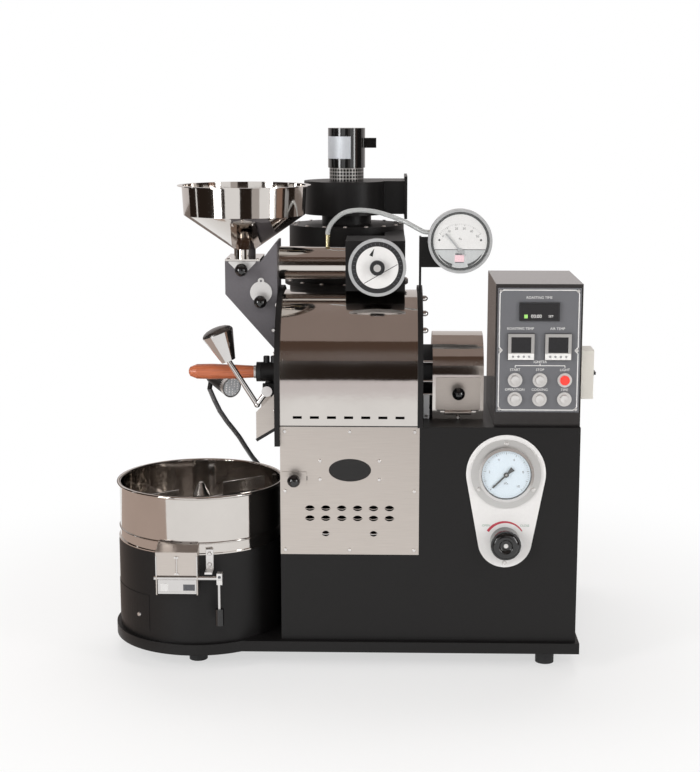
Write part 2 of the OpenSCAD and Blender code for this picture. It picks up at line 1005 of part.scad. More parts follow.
module base_plate() {
  place() color(BLACK) difference() {
    translate([0, 0, foot_h]) linear_extrude(base_h) base_outline(0);
    translate([0, 0, foot_h - cut])
      linear_extrude(base_h - base_t + cut) base_outline(base_t);
  }
}

module foot(x, y) {
  rod_z(foot_d / 2, 0, foot_h, x, y);
  rod_z(foot_d / 6, foot_h, cab_z - base_t, x, y);
}

module feet() {
  front = foot_inset - base_front;
  rear = cab_d + base_lip - foot_inset;
  right = cab_w + base_lip - foot_inset;
  place() color(BLACK) {
    foot(tray_x, front);
    foot(right, front);
    foot(right, rear);
    foot(foot_inset - base_lip, rear);
  }
}

module cabinet() {
  exit_half = exit_w / 2 + door_lap;
  place() color(BLACK) difference() {
    span([0, 0, cab_z], [cab_w, cab_d, top_z]);
    span([cab_t, cab_t, cab_z + cab_t], [cab_w - cab_t, cab_d - cab_t, top_z - cab_t]);
    // opening under the drum
    span([cab_t, drum_y - pit_half, top_z - cab_t - cut],
       [cover_l - cab_t, drum_y + pit_half, top_z + cut]);
    // notch behind the discharge opening
    span([-cut, drum_y - exit_half, drum_z - exit_drop - door_lap],
       [cab_t + cut, drum_y + exit_half, top_z + cut]);
    // opening behind the front panel
    span([panel_border, -cut, panel_z + 2 * panel_border],
       [panel_w - panel_border, cab_t + cut, top_z - 2 * panel_border]);
    rod_y(valve_stem_r + fit_side, -cut, cab_t + cut, gas_x, gas_knob_z);
  }
}

// Front panel with flame window, vents and air shutter

module oval(w, h) {
  polygon([for (i = [0 : oval_n - 1]) [w * cos(360 * i / oval_n), h * sin(360 * i / oval_n)] / 2]);
}

// Lens shaped hole of two arcs
module vent(w, h) {
  arc_r = (w * w + h * h) / (4 * h);
  intersection() {
    translate([0, arc_r - h / 2]) circle(arc_r);
    translate([0, h / 2 - arc_r]) circle(arc_r);
  }
}

module front_panel() {
  first = panel_w / 2 - (vent_n - 1) * vent_pitch / 2;
  slot_end = shut_stem_x + shut_travel;
  slot_r = shut_stem_r + fit_slide;
  place() color(STEEL) difference() {
    span([0, -panel_t, panel_z], [panel_w, 0, top_z]);
    front_sheet(-panel_t - cut, cut) {
      translate([window_x, top_z - window_drop]) oval(window_w, window_h);
      for (i = [0 : vent_n - 1], row = [0 : 1])
        translate([first + i * vent_pitch, top_z - vent_drop - row * vent_row])
          vent(vent_w, vent_h);
      for (side = [-1, 1])
        translate([panel_w / 2 + side * peep_pitch / 2, top_z - peep_drop])
          vent(peep_w, peep_h);
      translate([shut_stem_x - slot_r, shut_z - slot_r])
        square([slot_end - shut_stem_x + 2 * slot_r, 2 * slot_r]);
      translate([shut_x + air_hole_d / 2 + fit_side, shut_z]) circle(air_hole_d / 2);
    }
  }
}

module air_shutter() {
  rear = -panel_t - fit_slide;
  front = rear - shut_t;
  place() color(BLACK) {
    span([shut_x, front, shut_z - shut_h / 2], [shut_x + shut_w, rear, shut_z + shut_h / 2]);
    rod_y(shut_stem_r, rear, fit_slide + cab_t, shut_stem_x, shut_z);
    rod_y(2 * shut_stem_r, fit_slide, fit_slide + cab_t, shut_stem_x, shut_z);
    knob(shut_stem_x, front, shut_z);
  }
}

module burner() {
  z = top_z - burner_drop;
  first = drum_y - (burner_n - 1) * burner_pitch / 2;
  last = first + (burner_n - 1) * burner_pitch;
  manifold = cab_t + burner_l;
  place() color(GREY) {
    difference() {
      union() {
        for (i = [0 : burner_n - 1])
          rod_x(burner_r, cab_t, manifold + burner_r, first + i * burner_pitch, z);
        span([manifold, first - burner_r, z - burner_r],
           [manifold + 2 * burner_r, last + burner_r, z + burner_r]);
      }
      for (i = [0 : burner_n - 1])
        rod_x(burner_r - burner_t, cab_t + burner_t, manifold, first + i * burner_pitch, z);
    }
  }
}

// Drum, its end plates, cover and bearings

module lug(y) {
  span([-plate_t - door_shaft_x - lever_hub_r, y, door_z - lever_hub_r],
     [-plate_t, y + lug_w, door_z + lever_hub_r]);
}

module front_plate() {
  difference() {
    union() {
      arch(-plate_t, 0, plate_r, top_z - plate_drop);
      rod_x(boss_r, -plate_t - boss_l, -plate_t, tryer_y, tryer_z);
      lug(front_lug_y);
      lug(rear_lug_y);
    }
    rod_x(shaft_r + fit_side, -plate_t - cut, cut, drum_y, drum_z);
    rod_x(bush_r + fit_turn, -plate_t - boss_l - cut, cut, tryer_y, tryer_z);
    rod_y(door_shaft_r + fit_turn, front_lug_y - cut, rear_lug_y + lug_w + cut, door_x, door_z);
    span([-plate_t - cut, drum_y - inlet_w / 2, drum_z + inlet_rise],
       [cut, drum_y + inlet_w / 2, drum_z + inlet_rise + inlet_h]);
    span([-plate_t - cut, drum_y - exit_w / 2, drum_z - exit_drop],
       [cut, drum_y + exit_w / 2, drum_z - exit_drop + exit_h]);
  }
}

// Rear plate with the pressure gauge's post and tab
module rear_plate() {
  post_x = cover_l + (plate_t - strip_t) / 2;
  back = dp_y + dp_bezel_h + dp_case_h;
  foot = drum_z + cover_r / 2;
  difference() {
    union() {
      arch(cover_l, rear_x, plate_r, top_z);
      span([post_x, back, foot], [post_x + strip_t, back + strip_w, dp_z + strip_t]);
      span([post_x, back, dp_z + strip_t - tab_h], [dp_x + strip_t, back + strip_t, dp_z + strip_t]);
    }
    rod_x(shaft_r + fit_side, cover_l - cut, rear_x + cut, drum_y, drum_z);
  }
}

module end_plates() {
  place() color(BLACK) {
    front_plate();
    rear_plate();
  }
}

module drum_cover() {
  first = (cover_l - (slot_n - 1) * slot_pitch) / 2;
  z = top_z + slot_rise;
  place() color(MIRROR) difference() {
    arch(0, cover_l, cover_r, top_z);
    arch(-cut, cover_l + cut, cover_r - cover_t, top_z - cut);
    for (i = [0 : slot_n - 1])
      span([first + i * slot_pitch - slot_w / 2, -cut, z - slot_h / 2],
         [first + i * slot_pitch + slot_w / 2, cover_t + cut, z + slot_h / 2]);
  }
}

module drum() {
  inside = drum_r - drum_t;
  place() color(GREY) difference() {
    union() {
      difference() {
        rod_x(drum_r, drum_gap, drum_end, drum_y, drum_z);
        rod_x(inside, drum_gap + drum_t, drum_end - drum_t, drum_y, drum_z);
      }
      translate([0, drum_y, drum_z]) {
        for (i = [0 : flight_n - 1])
          rotate([360 * i / flight_n, 0, 0])
            span([drum_gap + drum_t, -flight_t / 2, inside - flight_h],
               [drum_end - drum_t, flight_t / 2, inside + drum_t / 2]);
        for (i = [0 : spider_n - 1])
          rotate([360 * (i + 0.5) / spider_n, 0, 0])
            span([drum_gap + spider_x, -hub_r / 3, shaft_r],
               [drum_gap + spider_x + flight_t, hub_r / 3, inside + drum_t / 2]);
      }
      rod_x(hub_r, drum_gap + spider_x - hub_r / 2, drum_gap + spider_x + hub_r / 2,
          drum_y, drum_z);
      rod_x(hub_r, drum_end - hub_r, drum_end, drum_y, drum_z);
    }
    rod_x(lip_r, drum_gap - cut, drum_gap + drum_t + cut, drum_y, drum_z);
    rod_x(shaft_r + fit_fixed, drum_gap + spider_x - hub_r, drum_end + cut, drum_y, drum_z);
  }
}

module drum_shaft() {
  place() color(STEEL)
    rod_x(shaft_r, -plate_t - bearing_t, gear_x + motor_grip, drum_y, drum_z);
}

module shaft_bearings() {
  place() color(GREY) {
    difference() {
      rod_x(bearing_r, -plate_t - bearing_t, -plate_t, drum_y, drum_z);
      rod_x(shaft_r + fit_turn, -plate_t - bearing_t - cut, cut - plate_t, drum_y, drum_z);
    }
    difference() {
      union() {
        rod_x(pillow_r, rear_x, gear_x, drum_y, drum_z);
        span([rear_x, drum_y - pillow_r / 2, top_z], [gear_x, drum_y + pillow_r / 2, drum_z]);
        span([rear_x, drum_y - pillow_r, top_z],
           [gear_x, drum_y + pillow_r, top_z + shaft_r]);
      }
      rod_x(shaft_r + fit_turn, rear_x - cut, gear_x + cut, drum_y, drum_z);
    }
  }
}

// Drum drive under the polished gear cover

module gear_cover() {
  x1 = gear_x + gear_l;
  pin_half = knuckle_l / 2 + fit_side + 2 * knuckle_r;
  place() color(MIRROR) {
    difference() {
      arch(gear_x, x1, gear_r, top_z);
      arch(gear_x + cover_t, x1 - cover_t, gear_r - cover_t, top_z - cut);
      rod_x(shaft_r + fit_side, gear_x - cut, gear_x + cover_t + cut, drum_y, drum_z);
      span([gear_mid - hatch_w / 2 + hatch_lap, gear_y - cut, hatch_z],
         [gear_mid + hatch_w / 2 - hatch_lap, gear_y + cover_t + cut, hatch_z + hatch_h]);
    }
    for (side = [-1, 1])
      translate([gear_mid + side * (pin_half - knuckle_r), 0, 0])
        span([-knuckle_r, hatch_pin_y - knuckle_r, hatch_pin_z - knuckle_r],
           [knuckle_r, gear_y, hatch_pin_z + knuckle_r]);
    rod_x(pin_r, gear_mid - pin_half, gear_mid + pin_half, hatch_pin_y, hatch_pin_z);
  }
}

module gear_door() {
  front = hatch_pin_y + knuckle_r - cover_t;
  rear = hatch_pin_y + knuckle_r;
  place() color(MIRROR) difference() {
    union() {
      span([gear_mid - hatch_w / 2, front, hatch_foot],
         [gear_mid + hatch_w / 2, rear, hatch_z + hatch_h + hatch_lap]);
      span([gear_mid - knuckle_l / 2, front, hatch_pin_z],
         [gear_mid + knuckle_l / 2, rear, hatch_foot]);
      rod_x(knuckle_r, gear_mid - knuckle_l / 2, gear_mid + knuckle_l / 2,
          hatch_pin_y, hatch_pin_z);
      knob(gear_mid, front, hatch_pin_z + hatch_knob_rise);
    }
    rod_x(pin_r + fit_turn, gear_mid - knuckle_l, gear_mid + knuckle_l, hatch_pin_y, hatch_pin_z);
  }
}

module gear_motors() {
  x0 = gear_x + 2 * cover_t;
  place() color(GREY) {
    difference() {
      union() {
        rod_x(motor_r, x0, x0 + motor_l, drum_y, drum_z);
        span([x0, drum_y - motor_r / 2, top_z], [x0 + motor_l, drum_y + motor_r / 2, drum_z]);
      }
      rod_x(shaft_r + fit_turn, x0 - cut, gear_x + motor_grip + fit_side, drum_y, drum_z);
    }
    difference() {
      rod_z(stir_motor_r, cab_z, cab_z + stir_motor_h, tray_x, tray_y);
      rod_z(stir_shaft_r + fit_turn, stir_foot - fit_side, cab_z + stir_motor_h + cut,
          tray_x, tray_y);
    }
  }
}

// Cooling tray, agitator and outlet gate

module cooling_tower() {
  place() color(BLACK) difference() {
    rod_z(tower_r, cab_z, bowl_z, tray_x, tray_y);
    rod_z(tower_r - tower_t, cab_z - cut, bowl_z + cut, tray_x, tray_y);
  }
}

module cooling_bowl() {
  wall_top = bowl_z + bowl_h - rim_r;
  place() color(MIRROR) difference() {
    translate([tray_x, tray_y, 0]) rotate_extrude() {
      translate([bowl_r - tower_t, bowl_z]) square([tower_t, wall_top - bowl_z]);
      translate([bowl_r - tower_t - ledge_w, bowl_z]) square([ledge_w + tower_t + bowl_step, tower_t]);
      translate([bowl_r, bowl_z + bead_rise]) circle(bead_r);
      translate([bowl_r + rim_r - tower_t / 2, wall_top]) circle(rim_r);
    }
    span([gate_x0 + gate_t, tray_y - 2 * bowl_r, screen_top],
       [gate_x1 - gate_t, tray_y - bowl_r / 2, gate_top - gate_t]);
  }
}

module cooling_screen() {
  place() color(STEEL) translate([tray_x, tray_y, screen_z]) difference() {
    cylinder(r = bowl_r - tower_t - fit_slide, h = screen_t);
    translate([0, 0, -cut]) {
      cylinder(r = stir_shaft_r + fit_side, h = screen_t + 2 * cut);
      for (i = [1 : screen_rings]) {
        ring_r = stir_hub_r + i * screen_pitch;
        n = floor(2 * PI * ring_r / screen_pitch);
        for (k = [0 : n - 1])
          rotate([0, 0, 360 * (k + i / 2) / n])
            translate([ring_r, 0, 0])
              cylinder(d = screen_hole_d, h = screen_t + 2 * cut);
      }
    }
  }
}

module stir_arm(angle) {
  z = screen_top + stir_arm_rise;
  rotate([0, 0, angle]) {
    rod_x(stir_arm_r, 0, stir_reach - stir_arm_r, 0, z);
    span([3 * stir_hub_r, -stir_paddle_t / 2, stir_z],
       [stir_reach, stir_paddle_t / 2, stir_z + stir_paddle_h]);
  }
}

module agitator() {
  hub_top = stir_z + stir_hub_h;
  place() color(STEEL) translate([tray_x, tray_y, 0]) {
    rod_z(stir_shaft_r, stir_foot, stir_z + stir_shaft_r, 0, 0);
    rod_z(stir_hub_r, stir_z, hub_top, 0, 0);
    translate([0, 0, hub_top]) cylinder(r1 = stir_hub_r, r2 = stir_shaft_r / 2, h = stir_cone_h);
    stir_arm(stir_turn);
    stir_arm(stir_turn + 180);
  }
}

// Side outline of the outlet chute
module gate_side() {
  polygon([
    [-gate_reach, gate_mouth],
    [gate_y + 2 * gate_shaft_r, gate_mouth],
    [0, screen_top - gate_t],
    [0, gate_top],
    [-gate_reach, gate_top - gate_hood_drop]
  ]);
}

module gate_chute() {
  lip = gate_y + gate_shaft_r + fit_side;
  front_foot = gate_z + gate_shaft_r + 2 * fit_side;
  mid = (gate_x0 + gate_x1) / 2;
  place() color(BLACK) difference() {
    union() {
      side_sheet(gate_x0, gate_x0 + gate_t) gate_side();
      side_sheet(gate_x1 - gate_t, gate_x1) gate_side();
      side_sheet(gate_x0, gate_x1) polygon([
        [lip, gate_mouth],
        [lip + 2 * gate_t, gate_mouth],
        [0, screen_top - 2 * gate_t],
        [0, screen_top]
      ]);
      side_sheet(gate_x0, gate_x1) polygon([
        [-gate_reach, gate_top - gate_hood_drop - gate_t],
        [0, gate_top - gate_t],
        [0, gate_top],
        [-gate_reach, gate_top - gate_hood_drop]
      ]);
      span([gate_x0, -gate_reach, front_foot],
         [gate_x1, gate_t - gate_reach, gate_top - gate_hood_drop - gate_t / 2]);
      span([mid - gate_t, -gate_reach, front_foot],
         [mid + gate_t, gate_t - gate_reach, gate_top - gate_hood_drop]);
    }
    rod_z(tower_r, cab_z, screen_z, tray_x, tray_y);
    rod_z(bowl_r, screen_z - cut, gate_top + cut, tray_x, tray_y);
    rod_z(bowl_r + bead_r + fit_side, bowl_z + bead_rise - bead_r - fit_side,
        gate_top + cut, tray_x, tray_y);
    rod_x(gate_shaft_r + fit_turn, gate_x0 - cut, gate_x1 + cut, gate_y, gate_z);
  }
}

module gate_lever() {
  knee = gate_z - gate_lever_l;
  place() color(BLACK) {
    rod_x(gate_shaft_r, gate_x0 - 2 * gate_t, gate_end, gate_y, gate_z);
    span([gate_x0 + gate_t + fit_side, gate_y - gate_t / 2, gate_mouth + fit_side],
       [gate_x1 - gate_t - fit_side, gate_y + gate_t / 2, gate_z]);
    rod_x(gate_grip_r, gate_end - gate_grip_r, gate_end, gate_y, gate_z);
    span([gate_end - gate_grip_r, gate_y - gate_shaft_r, knee],
       [gate_end - gate_shaft_r, gate_y + gate_shaft_r, gate_z]);
    rod_z(gate_grip_r, knee - gate_grip_l, knee, gate_end - 1.5 * gate_shaft_r, gate_y);
  }
}

// Bean chute, hopper and their gate

// Bean chute's side outline, moved inward
module chute_shell(t) {
  foot_x = -plate_t - chute_sill;
  run = foot_x - chute_x;
  fall = chute_elbow - inlet_z;
  slope = norm([run, fall]);
  front_sheet(chute_y0 + t, chute_y1 - t) polygon([
    [chute_x + t, chute_z - t],
    [chute_x + t, chute_elbow + t * (slope - fall) / run],
    [foot_x + t * (slope - run) / fall, inlet_z + t],
    [-plate_t - t, inlet_z + t],
    [-plate_t - t, chute_z + chute_peak - 2 * t],
    [foot_x, chute_z + chute_peak - 2 * t],
    [flange_x + t, chute_z - t]
  ]);
}

module bean_chute() {
  rail = (flange_l - slide_w) / 2 - fit_slide;
  place() color(GREY) {
    difference() {
      union() {
        chute_shell(0);
        for (x = [chute_x, flange_x - rail])
          span([x, chute_y0, chute_z], [x + rail, chute_y1, flange_z]);
      }
      chute_shell(chute_t);
      rod_z(neck_r, chute_z - 2 * chute_t, chute_z + cut, hopper_x, drum_y);
      rod_x(pipe_r - pipe_t, -plate_t - chute_t - cut, cut - plate_t, drum_y, pipe_z);
      span([-plate_t - chute_t - cut, drum_y - inlet_w / 2, inlet_z + chute_t],
         [cut - plate_t, drum_y + inlet_w / 2, inlet_z + inlet_h]);
      rod_y(sight_r, chute_y0 - cut, chute_y0 + chute_t + cut, sight_px, sight_pz);
    }
    rod_y(pin_r, chute_y0 - sight_t - 2 * fit_side, chute_y0, sight_px, sight_pz + sight_arm);
  }
}

module hopper() {
  place() color(MIRROR) translate([hopper_x, drum_y, 0]) {
    difference() {
      union() {
        span([-flange_l / 2, -chute_w / 2, flange_z],
           [flange_l / 2, chute_w / 2, flange_z + flange_t]);
        rod_z(neck_r, flange_z, neck_z, 0, 0);
      }
      rod_z(neck_r - hopper_t, flange_z - cut, neck_z + cut, 0, 0);
    }
    rotate_extrude() polygon([
      [neck_r - hopper_t, neck_z],
      [neck_r, neck_z],
      [hopper_foot_r, band_z],
      [hopper_r - brim_w, brim_z - hopper_t],
      [hopper_r, brim_z - hopper_t],
      [hopper_r, brim_z],
      [hopper_r - brim_w - hopper_t, brim_z],
      [hopper_foot_r - hopper_t, band_z + hopper_t],
      [neck_r - hopper_t, neck_z + hopper_t]
    ]);
  }
}

module hopper_gate() {
  x0 = hopper_x - slide_w / 2;
  x1 = hopper_x + slide_w / 2;
  z0 = chute_z + fit_slide / 2;
  y0 = chute_y0 - 2 * slide_t;
  place() color(GREY) {
    span([x0, y0, z0], [x1, slide_open - fit_side, z0 + slide_t]);
    front_sheet(y0, y0 + slide_t) polygon([
      [x0, z0 + slide_t],
      [x0, z0],
      [hopper_x - slide_t, z0 - slide_tab_h],
      [hopper_x + slide_t, z0 - slide_tab_h],
      [x1, z0],
      [x1, z0 + slide_t]
    ]);
    knob(hopper_x, y0, z0 - slide_tab_h / 2);
  }
}

module sight_cover() {
  rear = chute_y0 - fit_slide;
  front = rear - sight_t;
  place() color(GREY) difference() {
    union() {
      rod_y(sight_cover_r, front, rear, sight_px, sight_pz);
      span([sight_px - 2 * pin_r, front, sight_pz], [sight_px + 2 * pin_r, rear, sight_pz + sight_arm]);
      rod_y(3 * pin_r, front, rear, sight_px, sight_pz + sight_arm);
      knob(sight_px, front, sight_pz - sight_cover_r + knob_neck_d / 2);
    }
    rod_y(pin_r + fit_turn, front - cut, rear + cut, sight_px, sight_pz + sight_arm);
  }
}

// Discharge door, counterweight lever and trough

module discharge_chute() {
  x0 = -plate_t - trough_l;
  floor_z = exit_z - door_lap;
  side_top = door_z - lever_hub_r - fit_side;
  place() color(GREY) {
    for (y = [drum_y - trough_half, drum_y + trough_half - trough_t])
      front_sheet(y, y + trough_t) polygon([
        [-plate_t, floor_z - trough_t],
        [-plate_t, side_top],
        [x0, side_top - trough_l],
        [x0, floor_z - trough_fall - trough_t]
      ]);
    front_sheet(drum_y - trough_half, drum_y + trough_half) polygon([
      [-plate_t, floor_z],
      [x0, floor_z - trough_fall],
      [x0, floor_z - trough_fall - trough_t],
      [-plate_t, floor_z - trough_t]
    ]);
  }
}

module discharge_door() {
  rear = -plate_t - door_gap;
  front = rear - door_t;
  top = exit_z + exit_h + door_lap;
  half = exit_w / 2 + door_lap;
  place() color(GREY) difference() {
    union() {
      span([front, drum_y - half, exit_z - door_lap + fit_side], [rear, drum_y + half, top]);
      for (y = [drum_y - half, drum_y + half - lug_w]) {
        rod_y(2 * door_shaft_r, y, y + lug_w, door_x, door_z);
        front_sheet(y, y + lug_w) polygon([
          [door_x - door_shaft_r, door_z],
          [door_x + door_shaft_r, door_z],
          [rear, top - 2 * door_t],
          [rear, exit_z + door_lap],
          [front, exit_z + door_lap]
        ]);
      }
    }
    rod_y(door_shaft_r + fit_fixed, drum_y - half - cut, drum_y + half + cut, door_x, door_z);
  }
}

module discharge_lever() {
  place() color(BLACK) {
    rod_y(door_shaft_r, lever_y - lever_r, rear_lug_y + lug_w + door_gap, door_x, door_z);
    rod_y(lever_hub_r, lever_y - lever_r, lever_y + lever_r, door_x, door_z);
    rod_between([door_x, lever_y, door_z], lever_elbow, lever_r, lever_r);
    translate(lever_elbow) sphere(1.2 * lever_r);
    rod_between(lever_elbow, lever_neck, lever_r, lever_r);
    rod_between(lever_neck, lever_tip, weight_r1, weight_r2);
  }
}

// Tryer scoop with a wooden handle in a bush

module tryer_bush() {
  place() color(STEEL) difference() {
    union() {
      rod_x(bush_r, bush_x, 0, tryer_y, tryer_z);
      rod_x(boss_r, bush_x - bush_flange, bush_x, tryer_y, tryer_z);
    }
    rod_x(scoop_r + fit_turn, bush_x - bush_flange - cut, cut, tryer_y, tryer_z);
  }
}

module tryer_scoop() {
  place() color(STEEL) difference() {
    rod_x(scoop_r, handle_x, scoop_reach, tryer_y, tryer_z);
    intersection() {
      rod_x(scoop_r - scoop_t, drum_gap, scoop_reach - 2 * scoop_t, tryer_y, tryer_z + scoop_t);
      span([0, tryer_y - scoop_r, tryer_z - scoop_r],
         [scoop_reach, tryer_y + scoop_r, tryer_z + 2 * scoop_r]);
    }
  }
}

module tryer_handle() {
  place() color(WOOD) translate([handle_x, tryer_y, tryer_z]) rotate([0, -90, 0])
    rotate_extrude() polygon([
      [0, 0],
      [0.75 * handle_r, 0],
      [0.75 * handle_r, 0.08 * handle_l],
      [0.65 * handle_r, 0.13 * handle_l],
      [0.9 * handle_r, 0.35 * handle_l],
      [handle_r, 0.65 * handle_l],
      [0.95 * handle_r, 0.88 * handle_l],
      [0.6 * handle_r, 0.98 * handle_l],
      [0.3 * handle_r, handle_l],
      [0, handle_l]
    ]);
}

module work_lamp() {
  place() color(BLACK) {
    span([-bracket_t, bracket_y - bracket_w / 2, bracket_z - bracket_w / 2],
       [0, bracket_y + bracket_w / 2, bracket_z + bracket_w / 2]);
    sweep(goose_route, goose_r);
    rod_between(lamp_rear, lamp_front, lamp_neck_r, lamp_r);
  }
}

// Window, sight glass, gauge glasses and lamp lens
module lenses() {
  win_z = top_z - window_drop;
  beam = (lamp_front - lamp_rear) / norm(lamp_front - lamp_rear);
  place() color(CLEAR) {
    span([window_x - window_w / 2 - glass_lap, 0, win_z - window_h / 2 - glass_lap],
       [window_x + window_w / 2 + glass_lap, glass_t, win_z + window_h / 2 + glass_lap]);
    rod_y(sight_r - fit_fixed, chute_y0, chute_y0 + chute_t, sight_px, sight_pz);
    rod_y(gas_bezel_r - bezel_t - fit_fixed, gas_front + lens_t / 2, gas_front + 1.5 * lens_t,
        gas_x, gas_z);
    rod_y(dp_r - bezel_t - fit_fixed, dp_y + lens_t / 2, dp_y + 1.5 * lens_t, dp_x, dp_z);
    rod_between(lamp_front, lamp_front + glass_t * beam, lamp_r, lamp_r);
  }
}

// Exhaust pipe and damper

module exhaust_pipe() {
  place() color(MIRROR) difference() {
    rod_x(pipe_r, -plate_t, damper_x0, drum_y, pipe_z);
    rod_x(pipe_r - pipe_t, -plate_t - cut, damper_x0 + cut, drum_y, pipe_z);
  }
}

module damper_body() {
  place() color(BLACK) difference() {
    union() {
      span([damper_x0, damper_y0, pipe_z - damper_h / 2], [duct_x1, damper_y1, pipe_z + damper_h / 2]);
      rod_y(2 * dial_hub_r, damper_y0 - dial_boss_l, damper_y0 + cut, damper_mid, pipe_z);
    }
    rod_x(damper_bore, damper_x0 - cut, duct_x1 - cyc_t, drum_y, pipe_z);
    span([duct_x0 + cyc_t, drum_y, pipe_z - duct_h / 2 + cyc_t],
       [duct_x1 - cyc_t, damper_y1 + cut, pipe_z + duct_h / 2 - cyc_t]);
    rod_y(damper_shaft_r + fit_turn, damper_y0 - dial_boss_l - cut, damper_y1 - 2 * dial_t,
        damper_mid, pipe_z);
  }
}

module damper_plate() {
  place() color(STEEL) {
    rod_x(damper_bore - damper_edge, damper_mid - damper_disc_t / 2, damper_mid + damper_disc_t / 2,
        drum_y, pipe_z);
    rod_y(damper_shaft_r, dial_y - dial_t, damper_y1 - 2 * dial_t - fit_side, damper_mid, pipe_z);
  }
}

module damper_dial() {
  place() color(WHITE) difference() {
    union() {
      rod_y(dial_r, dial_y - dial_t, dial_y, damper_mid, pipe_z);
      rod_y(dial_hub_r, dial_y - dial_t - dial_hub_l, dial_y, damper_mid, pipe_z);
    }
    rod_y(damper_shaft_r + fit_fixed, dial_y - dial_t, dial_y + cut, damper_mid, pipe_z);
  }
}

// Cyclone over its chaff bin, with the blower on top

module cyclone() {
  half = duct_h / 2;
  place() color(BLACK) {
    difference() {
      union() {
        rod_z(cyc_r, top_z, bin_top, cyc_x, cyc_y);
        rod_z(cyc_r + cyc_rim, bin_top - cyc_rim_t, bin_top, cyc_x, cyc_y);
      }
      rod_z(cyc_r - cyc_t, top_z + cyc_t, bin_top + cut, cyc_x, cyc_y);
    }
    difference() {
      union() {
        rod_z(cyc_r, bin_top, cyc_top, cyc_x, cyc_y);
        rod_z(cyc_r + cyc_rim, bin_top, bin_top + cyc_rim_t, cyc_x, cyc_y);
        rod_z(outlet_r, cyc_top - cyc_t, scroll_z, cyc_x, cyc_y);
        span([duct_x0, damper_y1, pipe_z - half], [duct_x1, cyc_y, pipe_z + half]);
      }
      rod_z(cyc_r - cyc_t, bin_top - cut, cyc_top - cyc_t, cyc_x, cyc_y);
      rod_z(outlet_r - cyc_t, cyc_top - 2 * cyc_t, scroll_z + cut, cyc_x, cyc_y);
      span([duct_x0 + cyc_t, damper_y1 - cut, pipe_z - half + cyc_t],
         [duct_x1 - cyc_t, cyc_y, pipe_z + half - cyc_t]);
    }
  }
}

// Scroll of three growing quarter turns
module scroll(inset, reach) {
  s = scroll_step;
  big = 2 * scroll_r;
  intersection() {
    circle(scroll_r - inset);
    translate([0, -big]) square([big, big]);
  }
  intersection() {
    translate([0, s]) circle(scroll_r + s - inset);
    translate([-big, s - big]) square([big, big]);
  }
  intersection() {
    translate([s, s]) circle(scroll_r + 2 * s - inset);
    translate([s - big, s]) square([big, big]);
  }
  translate([-s, -s]) square([2 * s, 2 * s]);
  translate([0, scroll_rear - port_w + inset]) square([reach, port_w - 2 * inset]);
}

module blower_housing() {
  hole_y = [port_y0 - port_rim / 2, port_y1 + port_rim / 2];
  hole_z = [scroll_z - port_rim / 2, scroll_top + port_rim / 2];
  place() color(BLACK) difference() {
    union() {
      translate([cyc_x, cyc_y, scroll_z]) linear_extrude(scroll_h) scroll(0, port_l);
      span([port_x, port_y0 - port_rim, scroll_z - port_rim],
         [port_x + port_t, port_y1 + port_rim, scroll_top + port_rim]);
    }
    translate([cyc_x, cyc_y, scroll_z + scroll_t])
      linear_extrude(scroll_h - 2 * scroll_t) scroll(scroll_t, port_l + port_t + cut);
    rod_z(outlet_r - cyc_t, scroll_z - cut, scroll_z + scroll_t + cut, cyc_x, cyc_y);
    rod_z(fan_shaft_r + fit_side, scroll_top - scroll_t - cut, scroll_top + cut, cyc_x, cyc_y);
    for (y = hole_y, z = hole_z)
      rod_x(port_hole_r, port_x - cut, port_x + port_t + cut, y, z);
  }
}

module blower_impeller() {
  place() color(STEEL) translate([cyc_x, cyc_y, 0]) {
    rod_z(fan_shaft_r, fan_z, fan_motor_z + fan_motor_h / 3, 0, 0);
    rod_z(fan_hub_r, fan_z, fan_z + fan_h, 0, 0);
    rod_z(fan_r, fan_z + fan_h - fan_t, fan_z + fan_h, 0, 0);
    for (i = [0 : fan_n - 1])
      rotate([0, 0, 360 * i / fan_n])
        span([fan_hub_r - fan_t, -fan_t / 2, fan_z], [fan_r - fan_t, fan_t / 2, fan_z + fan_h]);
  }
}

module blower_motor() {
  top = fan_motor_z + fan_motor_h;
  place() color(GREY) translate([cyc_x, cyc_y, 0]) difference() {
    union() {
      rod_z(guard_r, scroll_top, fan_motor_z, 0, 0);
      rod_z(fan_motor_r, fan_motor_z, top, 0, 0);
      span([0, -guard_r / 3, fan_motor_z + fan_motor_h / 2],
         [1.6 * fan_motor_r, guard_r / 3, fan_motor_z + 0.75 * fan_motor_h]);
    }
    rod_z(guard_r - scroll_t, scroll_top - cut, fan_motor_z, 0, 0);
    rod_z(fan_shaft_r + fit_turn, scroll_top, fan_motor_z + fan_motor_h / 3 + fit_side, 0, 0);
  }
}

// Control box with its instruments and push buttons

module control_box() {
  place() color(BLACK) difference() {
    span([box_x, box_y, top_z], [box_end, box_y + box_d, box_top]);
    span([box_x + box_t, box_y + box_t, top_z + box_t],
       [box_end - box_t, box_y + box_d - box_t, box_top - box_t]);
    span([face_x0 + 2 * box_t, box_y - cut, face_z + 2 * box_t],
       [face_x1 - 2 * box_t, box_y + box_t + cut, face_top - 2 * box_t]);
  }
}

// Box round a centre on the control panel
module face_block(x, z, w, h, y0, y1) {
  span([x - w / 2, y0, z - h / 2], [x + w / 2, y1, z + h / 2]);
}

